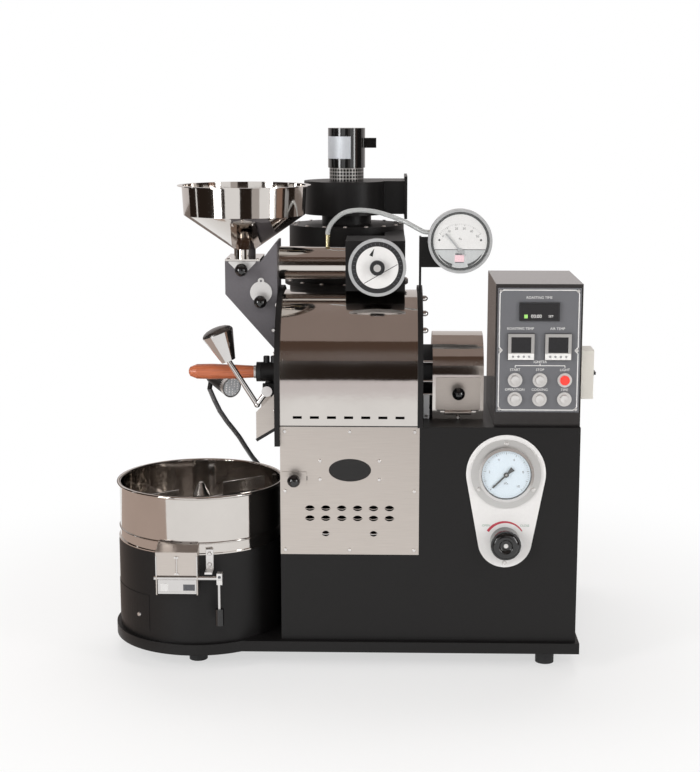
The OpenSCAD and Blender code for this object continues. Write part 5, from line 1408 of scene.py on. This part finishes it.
@dataclass
class Exhaust:
    """Exhaust pipe, damper, cyclone and blower.

    Attributes:
        dial: Middle of the damper dial and depth of its front, across, back and up.
        rings: Radii of the dial's black ring, white face and hub.
        scale: Marks on the black ring.
        face: Thickness of the white face.
        hands: Start, end and widths of the face's black hands, from the dial's middle.
        stud: Radius and thickness of the stud on the hub, and its distance from the dial.
        cyclone: Middle of the cyclone.
        flanges: Height and bolt radius of each bolted flange.
        bolts: Bolts of a flange.
        bolt: Radius of their heads.
        motor: Radius of the motor, and foot and height of its plate.
        motor_plate: First and last angle of that plate.
        skin: How far the plate reaches into the motor and out of it.
        guard_top: Top of the motor's guard.
        slack: How far past the hub its faces may lie.
    """

    dial: Triple = (182.0, 69.7, 770.0)
    rings: Triple = (49.0, 40.0, 14.2)
    scale: Scale = Scale(225.0, -270.0, ((44.5, 5.0, 0.9, 28),))
    face: float = 0.25
    hands: tuple[tuple[Pair, Pair, Pair], ...] = (
        ((-25.0, -30.0), (38.0, 6.0), (1.1, 1.1)),
        ((-12.0, 22.0), (-6.0, 36.0), (7.0, 0.4)),
    )
    stud: Triple = (7.0, 0.8, 12.0)
    cyclone: Pair = (114.0, 436.0)
    flanges: tuple[Pair, ...] = ((708.0, 126.0), (825.0, 112.0))
    bolts: int = 16
    bolt: float = 4.5
    motor: Triple = (39.0, 962.0, 46.0)
    motor_plate: Pair = (192.0, 284.0)
    skin: Pair = (0.2, 0.3)
    guard_top: float = 943.0
    slack: float = 0.3

    def dress(self) -> None:
        """Give the exhaust its finishes."""
        paint("exhaust_pipe", MIRROR)
        paint("damper_body", BLACK_COAT)
        paint("damper_plate", TURNED)
        hub = at(*self.dial)
        reach = (self.rings[2] + self.slack) * MM
        paint("damper_dial", LACQUER, (lambda p: math.hypot(p.x - hub.x, p.z - hub.z) < reach, ABS))
        paint("cyclone", BLACK_COAT)
        paint("blower_housing", BLACK_COAT)
        paint("blower_impeller", ALLOY)
        paint("blower_motor", GLOSS_BLACK, (lambda p: p.z < self.guard_top * MM, PUNCHED))

    def build(self) -> None:
        """Print the dial, bolt the flanges and fix the motor's plate."""
        x, y, z = self.dial
        black, white, hub = self.rings
        dial = [
            printed(front_disc(x, y, z, black, white), ABS),
            printed(front_disc(x, y, z, white, hub, self.face), WHITE),
            *self.scale.marks((x, y - INK_RISE, z), INK_GREY),
        ]
        for *ends, (first, last) in self.hands:
            line = [(x + across, z + up) for across, up in ends]
            dial.append(printed(stroke(line, first, y - self.face, last), INK_BLACK))
        radius, thick, off = self.stud
        dial.append(printed(front_disc(x, y - off, z, radius, rise=thick), SATIN))
        keep_set("damper_print", dial, Body.DAMPER)
        turns = [360 * i / self.bolts for i in range(self.bolts)]
        for number, (height, radius) in enumerate(self.flanges, 1):
            spots = [at(*spot, height) for spot in around(*self.cyclone, radius, turns)]
            heads = screw_heads(spots, self.bolt, Facing.UP, SATIN)
            keep(f"flange_bolts_{number}", heads, Body.FRAME)
        radius, foot, height = self.motor
        into, out = radius - self.skin[0], radius + self.skin[1]
        sheet = sector(at(*self.cyclone, foot), into, out, self.motor_plate, height)
        keep("motor_plate", sheet, Body.FRAME, LABEL)


@dataclass
class Controls:
    """Control box with its panel, instruments, buttons and breaker.

    Attributes:
        rim: Distance of the printed border from the panel's edge.
        cut: Length of the border's cut corners.
        lines: Widths of the border and of the bracket line.
        bracket: Height of the bracket line over the top row, length of its ends, and height of its word.
        screw: Radius of the panel's screws, and their distance from its edge.
        words: Letter size of the labels.
        across: Middles of the button columns.
        rows: Heights of the button rows.
        heads: Words over the displays, with their places across and up.
        row_words: Words over each button row.
        rises: Height of those words over each row.
        dish: Profile of a button's face.
        timer: Left, right, lower and upper edge of the timer's window, and its thickness.
        digits: The timer's words, their letter sizes, and their places across and up.
        lit: Left, right, lower and upper edge of the timer's lit mark.
        meters: Middles of the two controllers.
        meter_plates: Half width, lower and upper edge, distance from the case, thickness and finish of
            each plate on a controller.
        keys: First key's place across and up, distance to the next, radius and distance from the case.
        key_count: Keys on a controller.
    """

    rim: float = 4.0
    cut: float = 6.0
    lines: Pair = (1.7, 1.3)
    bracket: Triple = (27.0, 4.0, 7.0)
    screw: Pair = (3.2, 5.5)
    words: float = 6.6
    across: Triple = (441.0, 487.4, 533.8)
    rows: Pair = (566.0, 529.7)
    heads: tuple[tuple[str, float, float], ...] = (
        ("ROASTING TIME", 483.5, 720.9), ("ROASTING TEMP", 449.5, 662.7), ("AIR TEMP", 518.4, 662.7),
    )
    row_words: tuple[tuple[str, ...], ...] = (("START", "STOP", "LIGHT"), ("OPERATION", "COOLING", "TIME"))
    rises: Pair = (19.0, 17.5)
    dish: Profile = ((0, 0.5), (4.0, 0.6), (6.6, 1.3), (8.2, 1.2), (8.8, 0.0), (0, 0))
    timer: tuple[float, ...] = (449.0, 518.4, 680.5, 709.5, 0.5)
    digits: tuple[tuple[str, float, float, float], ...] = (
        ("00:00", 9.0, 478.0, 686.5), ("SET", 6.0, 505.0, 686.5),
    )
    lit: tuple[float, ...] = (455.5, 462.0, 683.0, 690.0)
    meters: tuple[Pair, ...] = ((451.1, 629.0), (520.1, 629.0))
    meter_plates: tuple[tuple[float, float, float, float, float, Finish], ...] = (
        (24.5, -24.5, 24.5, 0.0, 0.6, PLATE_ALLOY),
        (18.5, -11.0, 18.5, 0.6, 0.3, SMOKED),
        (24.0, -24.0, -12.5, 0.6, 0.3, INK_WHITE),
    )
    keys: tuple[float, ...] = (-15.0, -18.2, 10.0, 2.2, 0.9)
    key_count: int = 4

    def dress(self) -> None:
        """Give the controls their finishes."""
        paint("control_box", ENAMEL)
        paint("control_panel", PANEL)
        paint("controllers", ABS)
        paint("button_bezels", SATIN)
        for name in ("start", "stop", "operation", "cooling", "time"):
            paint(f"{name}_button", SATIN)
        paint("pilot_light", RED_LENS)
        paint("breaker", IVORY)
        paint("breaker_toggle", ABS)

    def build(self) -> None:
        """Print the panel, then fit the screws, displays and button faces."""
        room = Box.of("control_panel")
        left = Box.of("cabinet").lo.x
        x0, x1 = ((x - left) / MM for x in (room.lo.x, room.hi.x))
        z0, z1 = room.lo.z / MM, room.hi.z / MM
        face = front_of("control_panel")
        self.print_panel((x0, x1), (z0, z1), face)
        radius, edge = self.screw
        heights = (z0 + edge, (z0 + z1) / 2, z1 - edge)
        spots = [at(x, face, z) for x in (x0 + edge, x1 - edge) for z in heights]
        keep("box_screws", screw_heads(spots, radius, Facing.FRONT, SATIN), Body.FRAME)
        self.displays()
        for body in (Body.START, Body.STOP, Body.OPERATION, Body.COOLING, Body.TIME):
            self.button_face(body)

    def print_panel(self, wide: Pair, tall: Pair, face: float) -> None:
        """Print the panel's border line, bracket and words.

        Args:
            wide: Left and right edge of the panel.
            tall: Lower and upper edge.
            face: Depth of the panel's face.
        """
        left, right = wide[0] + self.rim, wide[1] - self.rim
        low, high = tall[0] + self.rim, tall[1] - self.rim
        mid = (low + high) / 2
        c = self.cut
        border = [(left + c, high), (right - c, high), (right, high - c), (right, mid + c)]
        border += [(right - c, mid), (right, mid - c), (right, low + c), (right - c, low)]
        border += [(left + c, low), (left, low + c), (left, mid - c), (left + c, mid)]
        border += [(left, mid + c), (left, high - c), (left + c, high)]
        a, b, d = self.across
        rise, tick, gap = self.bracket
        over = self.rows[0] + rise
        thick, thin = self.lines
        ink = [
            stroke(border, thick, face),
            stroke([(a, over - tick), (a, over), (d, over), (d, over - tick)], thin, face),
            stroke([(b, over), (b, over + tick)], thin, face),
        ]
        labels = [*self.heads, ("IGNITER", b, over + gap)]
        for words, height, lift in zip(self.row_words, self.rows, self.rises):
            labels += [(word, x, height + lift) for word, x in zip(words, self.across)]
        white = [printed(mesh, INK_WHITE) for mesh in ink]
        front = face - LETTER_RISE
        white += [lettering(word, self.words, at(x, front, z), INK_WHITE) for word, x, z in labels]
        keep_set("panel_print", white, Body.FRAME)

    def displays(self) -> None:
        """Fit the faces of the timer and of the two controllers."""
        face = front_of("controllers")
        *edges, thick = self.timer
        glass = face - thick
        parts = [printed(plate(*edges, face, thick), SMOKED)]
        for words, size, x, z in self.digits:
            parts.append(lettering(words, size, at(x, glass - LETTER_RISE, z), INK_WHITE))
        parts.append(printed(plate(*self.lit, glass), LED_GREEN))
        side, up, pitch, radius, off = self.keys
        for x, z in self.meters:
            for half, low, high, base, rise, finish in self.meter_plates:
                parts.append(printed(plate(x - half, x + half, z + low, z + high, face - base, rise), finish))
            for i in range(self.key_count):
                parts.append(printed(front_disc(x + side + pitch * i, face - off, z + up, radius), ALLOY))
        keep_set("display_faces", parts, Body.FRAME)

    def button_face(self, body: Body) -> None:
        """Fit a turned, dished face on a push button.

        Args:
            body: Body of the button.
        """
        name = body.value.replace("_body", "_button")
        room = Box.of(name)
        front = Vector((room.mid.x, room.lo.y, room.mid.z))
        mesh = lathe(name, self.dish, facing(front, Facing.FRONT), steps=40)
        keep(f"{name}_face", mesh, body, SATIN)


def tube(name: str, route: Sequence[Vector], radius: float, sides: int = 20) -> Mesh:
    """Sweep a round tube along a route.

    Args:
        name: Mesh name.
        route: Points that the tube follows.
        radius: Tube radius.
        sides: Sides of the tube.

    Returns:
        Closed smooth mesh.
    """
    form = bmesh.new()
    rings = []
    side = Vector((0, 1, 0))
    turns = [2 * math.pi * k / sides for k in range(sides)]
    for i, point in enumerate(route):
        ahead = (route[min(i + 1, len(route) - 1)] - route[max(i - 1, 0)]).normalized()
        side = (side - ahead * side.dot(ahead)).normalized()
        up = ahead.cross(side)
        ring = [point + (side * math.cos(t) + up * math.sin(t)) * radius for t in turns]
        rings.append([form.verts.new(p) for p in ring])
    for a, b in zip(rings, rings[1:]):
        for k in range(sides):
            n = (k + 1) % sides
            form.faces.new((a[k], a[n], b[n], b[k]))
    form.faces.new(rings[0])
    form.faces.new(rings[-1])
    mesh = closed(form, name)
    mesh.shade_smooth()
    return mesh


def smooth_route(points: Sequence[Vector], parts: int = 6) -> list[Vector]:
    """Return a rounded line through given points.

    Args:
        points: Points that the line passes.
        parts: New points between two of them.

    Returns:
        Close points along the line.
    """
    line = []
    for i in range(len(points) - 1):
        p0, p1, p2, p3 = (points[min(max(i + k, 0), len(points) - 1)] for k in (-1, 0, 1, 2))
        for step in range(parts):
            t = step / parts
            square = (2 * p0 - 5 * p1 + 4 * p2 - p3) * t**2
            cube = (3 * p1 - p0 - 3 * p2 + p3) * t**3
            line.append((2 * p1 + (p2 - p0) * t + square + cube) / 2)
    line.append(points[-1].copy())
    return line


@dataclass
class Gauges:
    """Gas gauge with its valve, pressure gauge and hose.

    Attributes:
        gas: Middle of the gas gauge.
        gas_dial: Depth and radius of its dial.
        gas_rim: Depth of the back of its bright rim.
        gas_scale: Marks and numbers of its dial.
        gas_unit: Unit on the dial, its letter size and its height over the middle.
        gas_ring: Outer and inner radius of the black ring on the dial.
        tail: Length of the gas needle's tail, its widths, and its depth behind the needle's front.
        flange: Radius of the flange's screw ring, and depth of its face.
        flange_turns: Angles of the flange's screws.
        head: Radius of the screw heads on the flange and the plate.
        draft: Middle of the pressure gauge.
        draft_dial: Depth and radius of its dial.
        draft_scale: Marks and numbers of its dial, round the needle's pin.
        draft_unit: Unit on the dial, its letter size and its height over the middle.
        draft_ring: Outer and inner radius of the black ring on the dial.
        pin: Height of its needle's pin.
        lift: Height of a mark's middle over its dial.
        slack: Depth and reach that the tests of a dial's floor allow.
        cover: Depth of the lower cover's edge below the middle, its radius and its thickness.
        cover_line: Half length and width of the line along that edge.
        shade_spans: First and last angle of each black arc on the cover, a painted shadow that widens toward
            the foot of the ring.
        shade_arc: Radius of those arcs, and widths of their ends.
        patches: Left, right, lower and upper edge of each patch on the cover, from the middle, and its ink.
        dots: Distance of the dial's two dots from the middle, their height over it and their radius.
        knob: Middle of the valve knob.
        plate_face: Depth of the plate's face.
        valve_arc: Radius, and first and last angle, of the red arc over the valve.
        valve_ends: Widths of the arc's ends.
        valve_words: Words beside the arc, with their places across from the knob.
        words: Letter size of those words, and their height over the knob.
        plate_screw: Depth of the plate's screw below the knob.
        knob_cap: Profile of the knob's cap.
        knob_screw: Radius of the knob's screw, its distance from the knob and its thickness.
        flame: Middle of the flame window, and its reach.
        hose: Radius of the hose.
        route: Points that the hose follows.
    """

    gas: Pair = (426.5, 388.0)
    gas_dial: Pair = (-7.0, 47.0)
    gas_rim: float = -5.2
    gas_scale: Scale = Scale(225.0, -270.0, ((41.0, 4.2, 0.7, 11), (42.0, 2.2, 0.4, 51)), (32.0, 6.5, 2), 6)
    gas_unit: tuple[str, float, float] = ("kPa", 5.5, -17.0)
    gas_ring: Pair = (46.9, 45.8)
    tail: tuple[float, float, float, float] = (17.0, 1.6, 10.0, 0.2)
    flange: Pair = (59.0, -5.0)
    flange_turns: Triple = (90.0, 210.0, 330.0)
    head: float = 4.4
    draft: Pair = (337.5, 821.0)
    draft_dial: Pair = (63.0, 55.3)
    draft_scale: Scale = Scale(140.0, -100.0, ((49.0, 4.0, 0.7, 6), (50.0, 2.2, 0.4, 26)), (42.0, 6.0, 10), 6)
    draft_unit: tuple[str, float, float] = ("Pa", 6.0, 4.0)
    draft_ring: Pair = (55.2, 50.4)
    pin: float = 803.0
    lift: float = 0.1
    slack: Pair = (0.4, 0.2)
    cover: Triple = (16.0, 49.5, 0.2)
    cover_line: Pair = (48.0, 1.3)
    shade_spans: tuple[Pair, Pair] = ((212.0, 252.0), (328.0, 288.0))
    shade_arc: Triple = (47.6, 1.5, 5.5)
    patches: tuple[tuple[float, float, float, float, Finish], ...] = (
        (-9.0, 7.0, -41.0, -23.0, INK_GREY), (-10.0, 8.0, -39.0, -26.0, INK_PINK),
    )
    dots: Triple = (39.0, 2.0, 2.0)
    knob: Pair = (426.5, 256.5)
    plate_face: float = -2.0
    valve_arc: Triple = (38.0, 149.0, 32.0)
    valve_ends: Pair = (5.4, 2.2)
    valve_words: tuple[tuple[str, float], ...] = (("OPEN", -36.0), ("CLOSE", 37.0))
    words: Pair = (6.0, 31.0)
    plate_screw: float = 42.0
    knob_cap: Profile = (
        (0, 0), (25.4, 0), (25.0, 1.6), (23.8, 3.3), (21.8, 4.7), (19.0, 5.8), (16.2, 6.2), (13.8, 5.8),
        (12.2, 4.6), (11.4, 3.0), (10.0, 1.9), (8.0, 1.4), (0, 1.4),
    )
    knob_screw: Triple = (4.2, 1.0, 1.4)
    flame: tuple[float, float, float, float] = (132.0, 1.5, 393.5, 60.0)
    hose: float = 4.5
    route: tuple[Triple, ...] = (
        (85, 157, 825), (85, 157, 830), (88, 157, 839), (94, 156, 849), (103, 155, 858), (114, 153, 866),
        (128, 150, 871), (146, 147, 873), (165, 144, 872), (184, 140, 869), (202, 136, 864), (220, 130, 858),
        (238, 122, 851), (254, 112, 843), (268, 105, 836), (275.5, 103.2, 834.5), (279.5, 103.2, 834.5),
    )

    def floor_of(self, middle: Pair, dial: Pair) -> Test:
        """Return a test for the faces of a dial's floor.

        Args:
            middle: Middle of the dial, across and up.
            dial: Its depth and radius.

        Returns:
            Test of a face's middle.
        """
        spot = at(middle[0], dial[0], middle[1])
        deep, wide = self.slack
        reach = (dial[1] + wide) * MM
        return lambda p: abs(p.y - spot.y) < deep * MM and math.hypot(p.x - spot.x, p.z - spot.z) < reach

    def dress(self) -> None:
        """Give the gauges their finishes."""
        paint("gauge_plate", WHITE)
        rim = at(0, self.gas_rim, 0).y
        dial = self.floor_of(self.gas, self.gas_dial)
        paint("gas_gauge", PLATE_ALLOY, (lambda p: p.y < rim, CHROME), (dial, DIAL_BLUE))
        paint("gas_needle", INK_BLACK)
        paint("gas_knob", PHENOLIC)
        paint("dp_gauge", LACQUER, (self.floor_of(self.draft, self.draft_dial), WHITE))
        paint("dp_needle", LACQUER)
        paint("pressure_hose", VINYL)
        paint("lenses", GLASS, (ball(*self.flame), FLAME_GLASS))

    def build(self) -> None:
        """Print the dials and the valve plate, and run the hose."""
        self.print_gas()
        self.print_draft()
        self.print_valve()
        line = smooth_route([at(*p) for p in self.route])
        hose = keep("hose", tube("hose", line, self.hose * MM), Body.FRAME, VINYL)
        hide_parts("pressure_hose")

    def print_gas(self) -> None:
        """Print the gas gauge's dial, add the needle's tail and set the flange's screws."""
        x, z = self.gas
        y = self.gas_dial[0]
        middle = (x, y - self.lift, z)
        unit, size, up = self.gas_unit
        ink = [
            *self.gas_scale.marks(middle, INK_BLACK),
            *self.gas_scale.figures(middle, INK_BLACK),
            lettering(unit, size, at(x, y - self.lift, z + up), INK_BLACK),
            printed(front_disc(x, y, z, *self.gas_ring), INK_BLACK),
        ]
        keep_set("gas_dial_print", ink, Body.FRAME)
        length, first, last, behind = self.tail
        end = around(x, z, -length, [self.gas_scale.start])
        tail = stroke([(x, z), *end], first, front_of("gas_needle") + behind, last)
        keep("needle_tail", tail, Body.NEEDLE, INK_BLACK)
        ring, face = self.flange
        spots = [at(across, face, up) for across, up in around(x, z, ring, self.flange_turns)]
        keep("flange_screws", screw_heads(spots, self.head, Facing.FRONT, SATIN), Body.FRAME)

    def print_draft(self) -> None:
        """Print the pressure gauge's dial and its lower cover, with painted shadow low on its ring."""
        x, z = self.draft
        y = self.draft_dial[0]
        pin = (x, y - self.lift, self.pin)
        drop, reach, thick = self.cover
        front = y - thick
        fall = math.degrees(math.asin(drop / reach))
        rim = [at(across, y, up) for across, up in arc(x, z, reach, 180 + fall, 360 - fall)]
        half, width = self.cover_line
        ink = [
            printed(front_disc(x, y, z, *self.draft_ring), INK_BLACK),
            *self.draft_scale.marks(pin, INK_BLACK),
            printed(flat_mesh("low cover", rim, Vector((0, -thick * MM, 0))), COVER_GREY),
            printed(stroke([(x - half, z - drop), (x + half, z - drop)], width, front), INK_BLACK),
        ]
        # Black arcs low on the ring, widening downward: painted shadow.
        radius, first, last = self.shade_arc
        for span in self.shade_spans:
            ink.append(printed(stroke(arc(x, z, radius, *span), first, front, last), INK_BLACK))
        for layer, (left, right, low, high, finish) in enumerate(self.patches, 1):
            ink.append(printed(plate(x + left, x + right, z + low, z + high, y - layer * thick), finish))
        side, up, radius = self.dots
        for across in (x - side, x + side):
            ink.append(printed(front_disc(across, y, z + up, radius), INK_BLACK))
        ink += self.draft_scale.figures(pin, INK_BLACK)
        unit, size, up = self.draft_unit
        ink.append(lettering(unit, size, at(x, y - self.lift, z + up), INK_BLACK))
        keep_set("draft_dial_print", ink, Body.FRAME)

    def print_valve(self) -> None:
        """Print the red arc over the valve, and finish the knob."""
        x, z = self.knob
        face = self.plate_face
        first, last = self.valve_ends
        size, up = self.words
        ink = [printed(stroke(arc(x, z, *self.valve_arc), first, face, last), INK_RED)]
        for word, across in self.valve_words:
            ink.append(lettering(word, size, at(x + across, face - self.lift, z + up), INK_GREEN))
        keep_set("valve_print", ink, Body.FRAME)
        low = [at(x, face, z - self.plate_screw)]
        keep("plate_screw", screw_heads(low, self.head, Facing.FRONT, CHROME), Body.FRAME)
        front = front_of("gas_knob")
        cap = lathe("knob_cap", self.knob_cap, facing(at(x, front, z), Facing.FRONT), steps=48)
        keep("knob_cap", cap, Body.KNOB, PHENOLIC)
        radius, off, thick = self.knob_screw
        stud = front_disc(x, front - off, z, radius, rise=thick)
        keep("knob_screw", stud, Body.KNOB, SATIN)


@dataclass
class Lamp:
    """Work lamp on a gooseneck.

    Attributes:
        rear: Back of the lamp head.
        front: Front of the lamp head.
        reflector: Radius of the reflector.
        depth: Distances of the reflector's back and front from the head's front.
        rim: Length of the bright rim, and how far it reaches from the front's middle.
        head_foot: Height below which only the hose is found.
        bracket: Thickness of the wall bracket.
    """

    rear: Triple = (-152.0, 212.0, 534.0)
    front: Triple = (-105.0, 150.0, 524.0)
    reflector: float = 18.0
    depth: Pair = (0.15, 0.4)
    rim: Pair = (12.0, 26.0)
    head_foot: float = 502.0
    bracket: float = 4.2

    @property
    def beam(self) -> Vector:
        """Direction that the lamp shines."""
        return (Vector(self.front) - Vector(self.rear)).normalized()

    def dress(self) -> None:
        """Give the lamp head its coat, a bright rim and a plated hose."""
        front, beam, wall_side = at(*self.front), self.beam, at(-self.bracket, 0, 0).x
        length, reach = (size * MM for size in self.rim)
        paint(
            "work_lamp",
            BLACK_COAT,
            (lambda p: p.z < self.head_foot * MM and p.x < wall_side, HOSE),
            (lambda p: (p - front).length < reach and (p - front).dot(beam) > -length, SATIN),
        )

    def build(self) -> None:
        """Set the faceted reflector in front of the lamp head, behind the lens."""
        back, front = self.depth
        r = self.reflector
        profile = ((0, back), (r, back), (r, front), (0, front))
        mesh = lathe("reflector", profile, aimed(at(*self.front), self.beam), steps=48)
        # The reflector's glow is painted light, not light from the lamp itself.
        keep("reflector", mesh, Body.FRAME, REFLECTOR)


@dataclass(frozen=True)
class Screen:
    """One curved sheet of the room round the machine, which only polished metal shows. Sizes are in metres.

    Attributes:
        turn: Angles of its two ends in degrees, from straight ahead to the right.
        rise: Heights of its foot and head.
        tone: Its colour.
        out: Distances of its foot and head from the middle.
        facet: Angle of one flat part.
    """

    turn: Pair
    rise: Pair
    tone: str
    out: Pair = (1.8, 1.8)
    facet: float = 6.0

    def build(self) -> None:
        """Hang the sheet."""
        first, last = self.turn
        steps = max(2, round((last - first) / self.facet))
        points = []
        for i in range(steps + 1):
            turn = math.radians(first + (last - first) * i / steps)
            for reach, height in zip(self.out, self.rise):
                points.append((reach * math.sin(turn), -reach * math.cos(turn), height))
        mesh = bpy.data.meshes.new("screen")
        mesh.from_pydata(points, [], [(2 * i, 2 * i + 2, 2 * i + 3, 2 * i + 1) for i in range(steps)])
        made = bpy.data.materials.new(f"room {self.tone}")
        made.use_nodes = True
        made.node_tree.nodes.clear()
        glow = add_node(made.node_tree, "ShaderNodeEmission", {"Color": linear(self.tone), "Strength": 1.0})
        add_node(made.node_tree, "ShaderNodeOutputMaterial", {0: glow.outputs[0]})
        mesh.materials.append(made)
        sheet = stand("screen", mesh)
        sheet.visible_camera = False
        sheet.visible_diffuse = False
        sheet.visible_transmission = False
        sheet.visible_shadow = False


# Dark walls with a gap in front of each strip lamp, a grey ceiling, two windows and paler things
# between them.
WALL = (1.9, 1.9)
ROOM = (
    Screen((-110, -53), (0.0, 1.25), "#2b231e", WALL),
    Screen((-39.5, 47.5), (0.0, 1.25), "#2b231e", WALL),
    Screen((58.5, 110), (0.0, 1.25), "#2b231e", WALL),
    Screen((-110, 110), (1.25, 2.6), "#56443a", WALL),
    Screen((110, 250), (0.0, 0.7), "#857a74", WALL),
    Screen((110, 250), (0.7, 2.6), "#dcd6d4", WALL),
    Screen((-180, 180), (2.6, 3.0), "#95867f", (1.9, 0.02)),
    Screen((-125, -46), (0.003, 0.003), "#bfada3", (0.55, 1.9)),
    Screen((-9, 11), (0.0, 0.24), "#ffffff"),
    Screen((-9, 11), (0.24, 0.42), "#e2dcdd"),
    Screen((-34, -9), (0.0, 1.2), "#ffffff"),
    Screen((11, 25), (0.0, 1.2), "#bdb7b3"),
    Screen((25, 46), (0.0, 1.2), "#ffffff"),
    Screen((60, 74), (0.0, 1.2), "#94796a"),
    Screen((-89.5, -86.5), (0.0, 1.2), "#ffffff"),
)


@dataclass(frozen=True)
class SoftBox:
    """One soft studio lamp.

    Attributes:
        name: Lamp name.
        spot: Place of the lamp.
        aim: Place that it points to.
        size: Width and height.
        power: Light in watts.
    """

    name: str
    spot: Triple
    aim: Triple
    size: Pair
    power: float

    def build(self) -> None:
        """Hang the lamp."""
        light = bpy.data.lights.new(self.name, "AREA")
        light.shape = "RECTANGLE"
        light.size, light.size_y = self.size
        light.energy = self.power
        holder = stand(self.name, light)
        holder.location = self.spot
        way = Vector(self.aim) - Vector(self.spot)
        holder.rotation_euler = way.to_track_quat("-Z", "Y").to_euler()


@dataclass
class Studio:
    """White floor, soft lamps, the room and the photo's camera, in metres.

    Attributes:
        eye: Place of the camera.
        look: Direction of the camera.
        lens: Focal length, in millimetres.
        sensor: Width of the camera's sensor, in millimetres.
        lamps: Soft lamps.
        sky: Colour of the plain light from all sides.
        level: Strength of that light.
        paper: Colour of the floor.
        matt: Roughness of the floor.
        side: Half width of the floor.
        thick: Thickness of the floor.
        shade: Radii between which the floor's shadow fades out.
        white: Share of plain white in the floor at those radii.
    """

    eye: Triple = (0.07315, -3.0889, 1.0759)
    look: Triple = (-0.0247, 0.98326, -0.1805)
    lens: float = 71.87
    sensor: float = 36.0
    lamps: tuple[SoftBox, ...] = (
        SoftBox("left strip", (-2.3, -2.2, 1.3), (0, 0, 0.5), (0.7, 2.2), 50),
        SoftBox("right strip", (2.5, -1.9, 1.3), (0, 0, 0.5), (0.5, 2.2), 27),
        SoftBox("top", (0, 1.0, 3.0), (0, 0, 0.4), (2.4, 1.2), 41),
        SoftBox("front", (0.2, -4.2, 2.6), (0, 0, 0.4), (2.0, 0.8), 37),
    )
    sky: str = "#cfcac6"
    level: float = 0.52
    paper: str = "#f4f3f2"
    matt: float = 0.7
    side: float = 6.0
    thick: float = 0.01
    shade: Pair = (0.45, 1.3)
    white: Pair = (0.6, 1.0)

    def camera(self) -> None:
        """Set the camera at the photo's angle."""
        lens = bpy.data.cameras.new("camera")
        lens.lens = self.lens
        lens.sensor_width = self.sensor
        lens.dof.use_dof = False
        holder = stand("camera", lens)
        holder.location = self.eye
        holder.rotation_euler = Vector(self.look).to_track_quat("-Z", "Y").to_euler()
        bpy.context.scene.camera = holder

    def seen(self, tree: NodeTree) -> NodeSocket:
        """Tell rays that show a thing from rays that only light it.

        Args:
            tree: Material or world tree.

        Returns:
            One for rays from the camera, off metal and through glass.
        """
        path = add_node(tree, "ShaderNodeLightPath").outputs
        eye = {0: path["Is Camera Ray"], 1: path["Is Glossy Ray"]}
        metal = add_node(tree, "ShaderNodeMath", eye, operation="MAXIMUM").outputs[0]
        both = {0: metal, 1: path["Is Transmission Ray"]}
        return add_node(tree, "ShaderNodeMath", both, operation="MAXIMUM").outputs[0]

    def world(self) -> None:
        """Make a white backdrop for the eye, over a plain grey for the light."""
        made = bpy.data.worlds.new("studio")
        made.use_nodes = True
        bpy.context.scene.world = made
        tree = made.node_tree
        tree.nodes.clear()
        lit = {"Color": linear(self.sky), "Strength": self.level}
        room = add_node(tree, "ShaderNodeBackground", lit).outputs[0]
        plain = {"Color": linear("#ffffff"), "Strength": 1.0}
        paper = add_node(tree, "ShaderNodeBackground", plain).outputs[0]
        mix = add_node(tree, "ShaderNodeMixShader", {0: self.seen(tree), 1: room, 2: paper})
        add_node(tree, "ShaderNodeOutputWorld", {0: mix.outputs[0]})

    def floor(self) -> None:
        """Lay the pale floor, which keeps the shadow near the machine and goes white further off."""
        side = self.side
        corners = ((-side, -side, 0), (side, -side, 0), (side, side, 0), (-side, side, 0))
        mesh = flat_mesh("floor", [Vector(p) for p in corners], Vector((0, 0, -self.thick)))
        made = bpy.data.materials.new("matt white paper")
        made.use_nodes = True
        tree = made.node_tree
        shader = tree.nodes["Principled BSDF"]
        shader.inputs["Base Color"].default_value = linear(self.paper)
        shader.inputs["Roughness"].default_value = self.matt
        place = add_node(tree, "ShaderNodeTexCoord").outputs["Object"]
        far = add_node(tree, "ShaderNodeVectorMath", {0: place}, operation="LENGTH").outputs["Value"]
        span = {"Value": far, "From Min": self.shade[0], "From Max": self.shade[1]}
        span |= {"To Min": self.white[0], "To Max": self.white[1]}
        fade = add_node(tree, "ShaderNodeMapRange", span, interpolation_type="SMOOTHSTEP").outputs[0]
        parts = {0: fade, 1: self.seen(tree)}
        share = add_node(tree, "ShaderNodeMath", parts, operation="MULTIPLY").outputs[0]
        plain = {"Color": linear("#ffffff"), "Strength": 1.0}
        paper = add_node(tree, "ShaderNodeEmission", plain).outputs[0]
        mix = add_node(tree, "ShaderNodeMixShader", {0: share, 1: shader.outputs[0], 2: paper}).outputs[0]
        tree.links.new(mix, tree.nodes["Material Output"].inputs["Surface"])
        mesh.materials.append(made)
        stand("floor", mesh)

    def build(self) -> None:
        """Set up the whole studio."""
        self.camera()
        for lamp in self.lamps:
            lamp.build()
        self.world()
        self.floor()
        for screen in ROOM:
            screen.build()
        bpy.context.scene.view_settings.view_transform = "Standard"


class Assembly(Protocol):
    """A sub-assembly of the machine."""

    def dress(self) -> None:
        """Give the CAD nodes their finishes."""

    def build(self) -> None:
        """Make the pieces that are added to the CAD nodes."""


def main() -> None:
    """Dress and build the sub-assemblies, then the studio."""
    logging.basicConfig(level=logging.INFO, format="%(message)s")
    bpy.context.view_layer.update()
    parts: list[Assembly] = [
        Shell(), Drum(), BeanPath(), Cooling(), Exhaust(), Controls(), Gauges(), Lamp()
    ]
    for part in parts:
        part.dress()
        part.build()
    Studio().build()


if __name__ == "__main__":
    main()
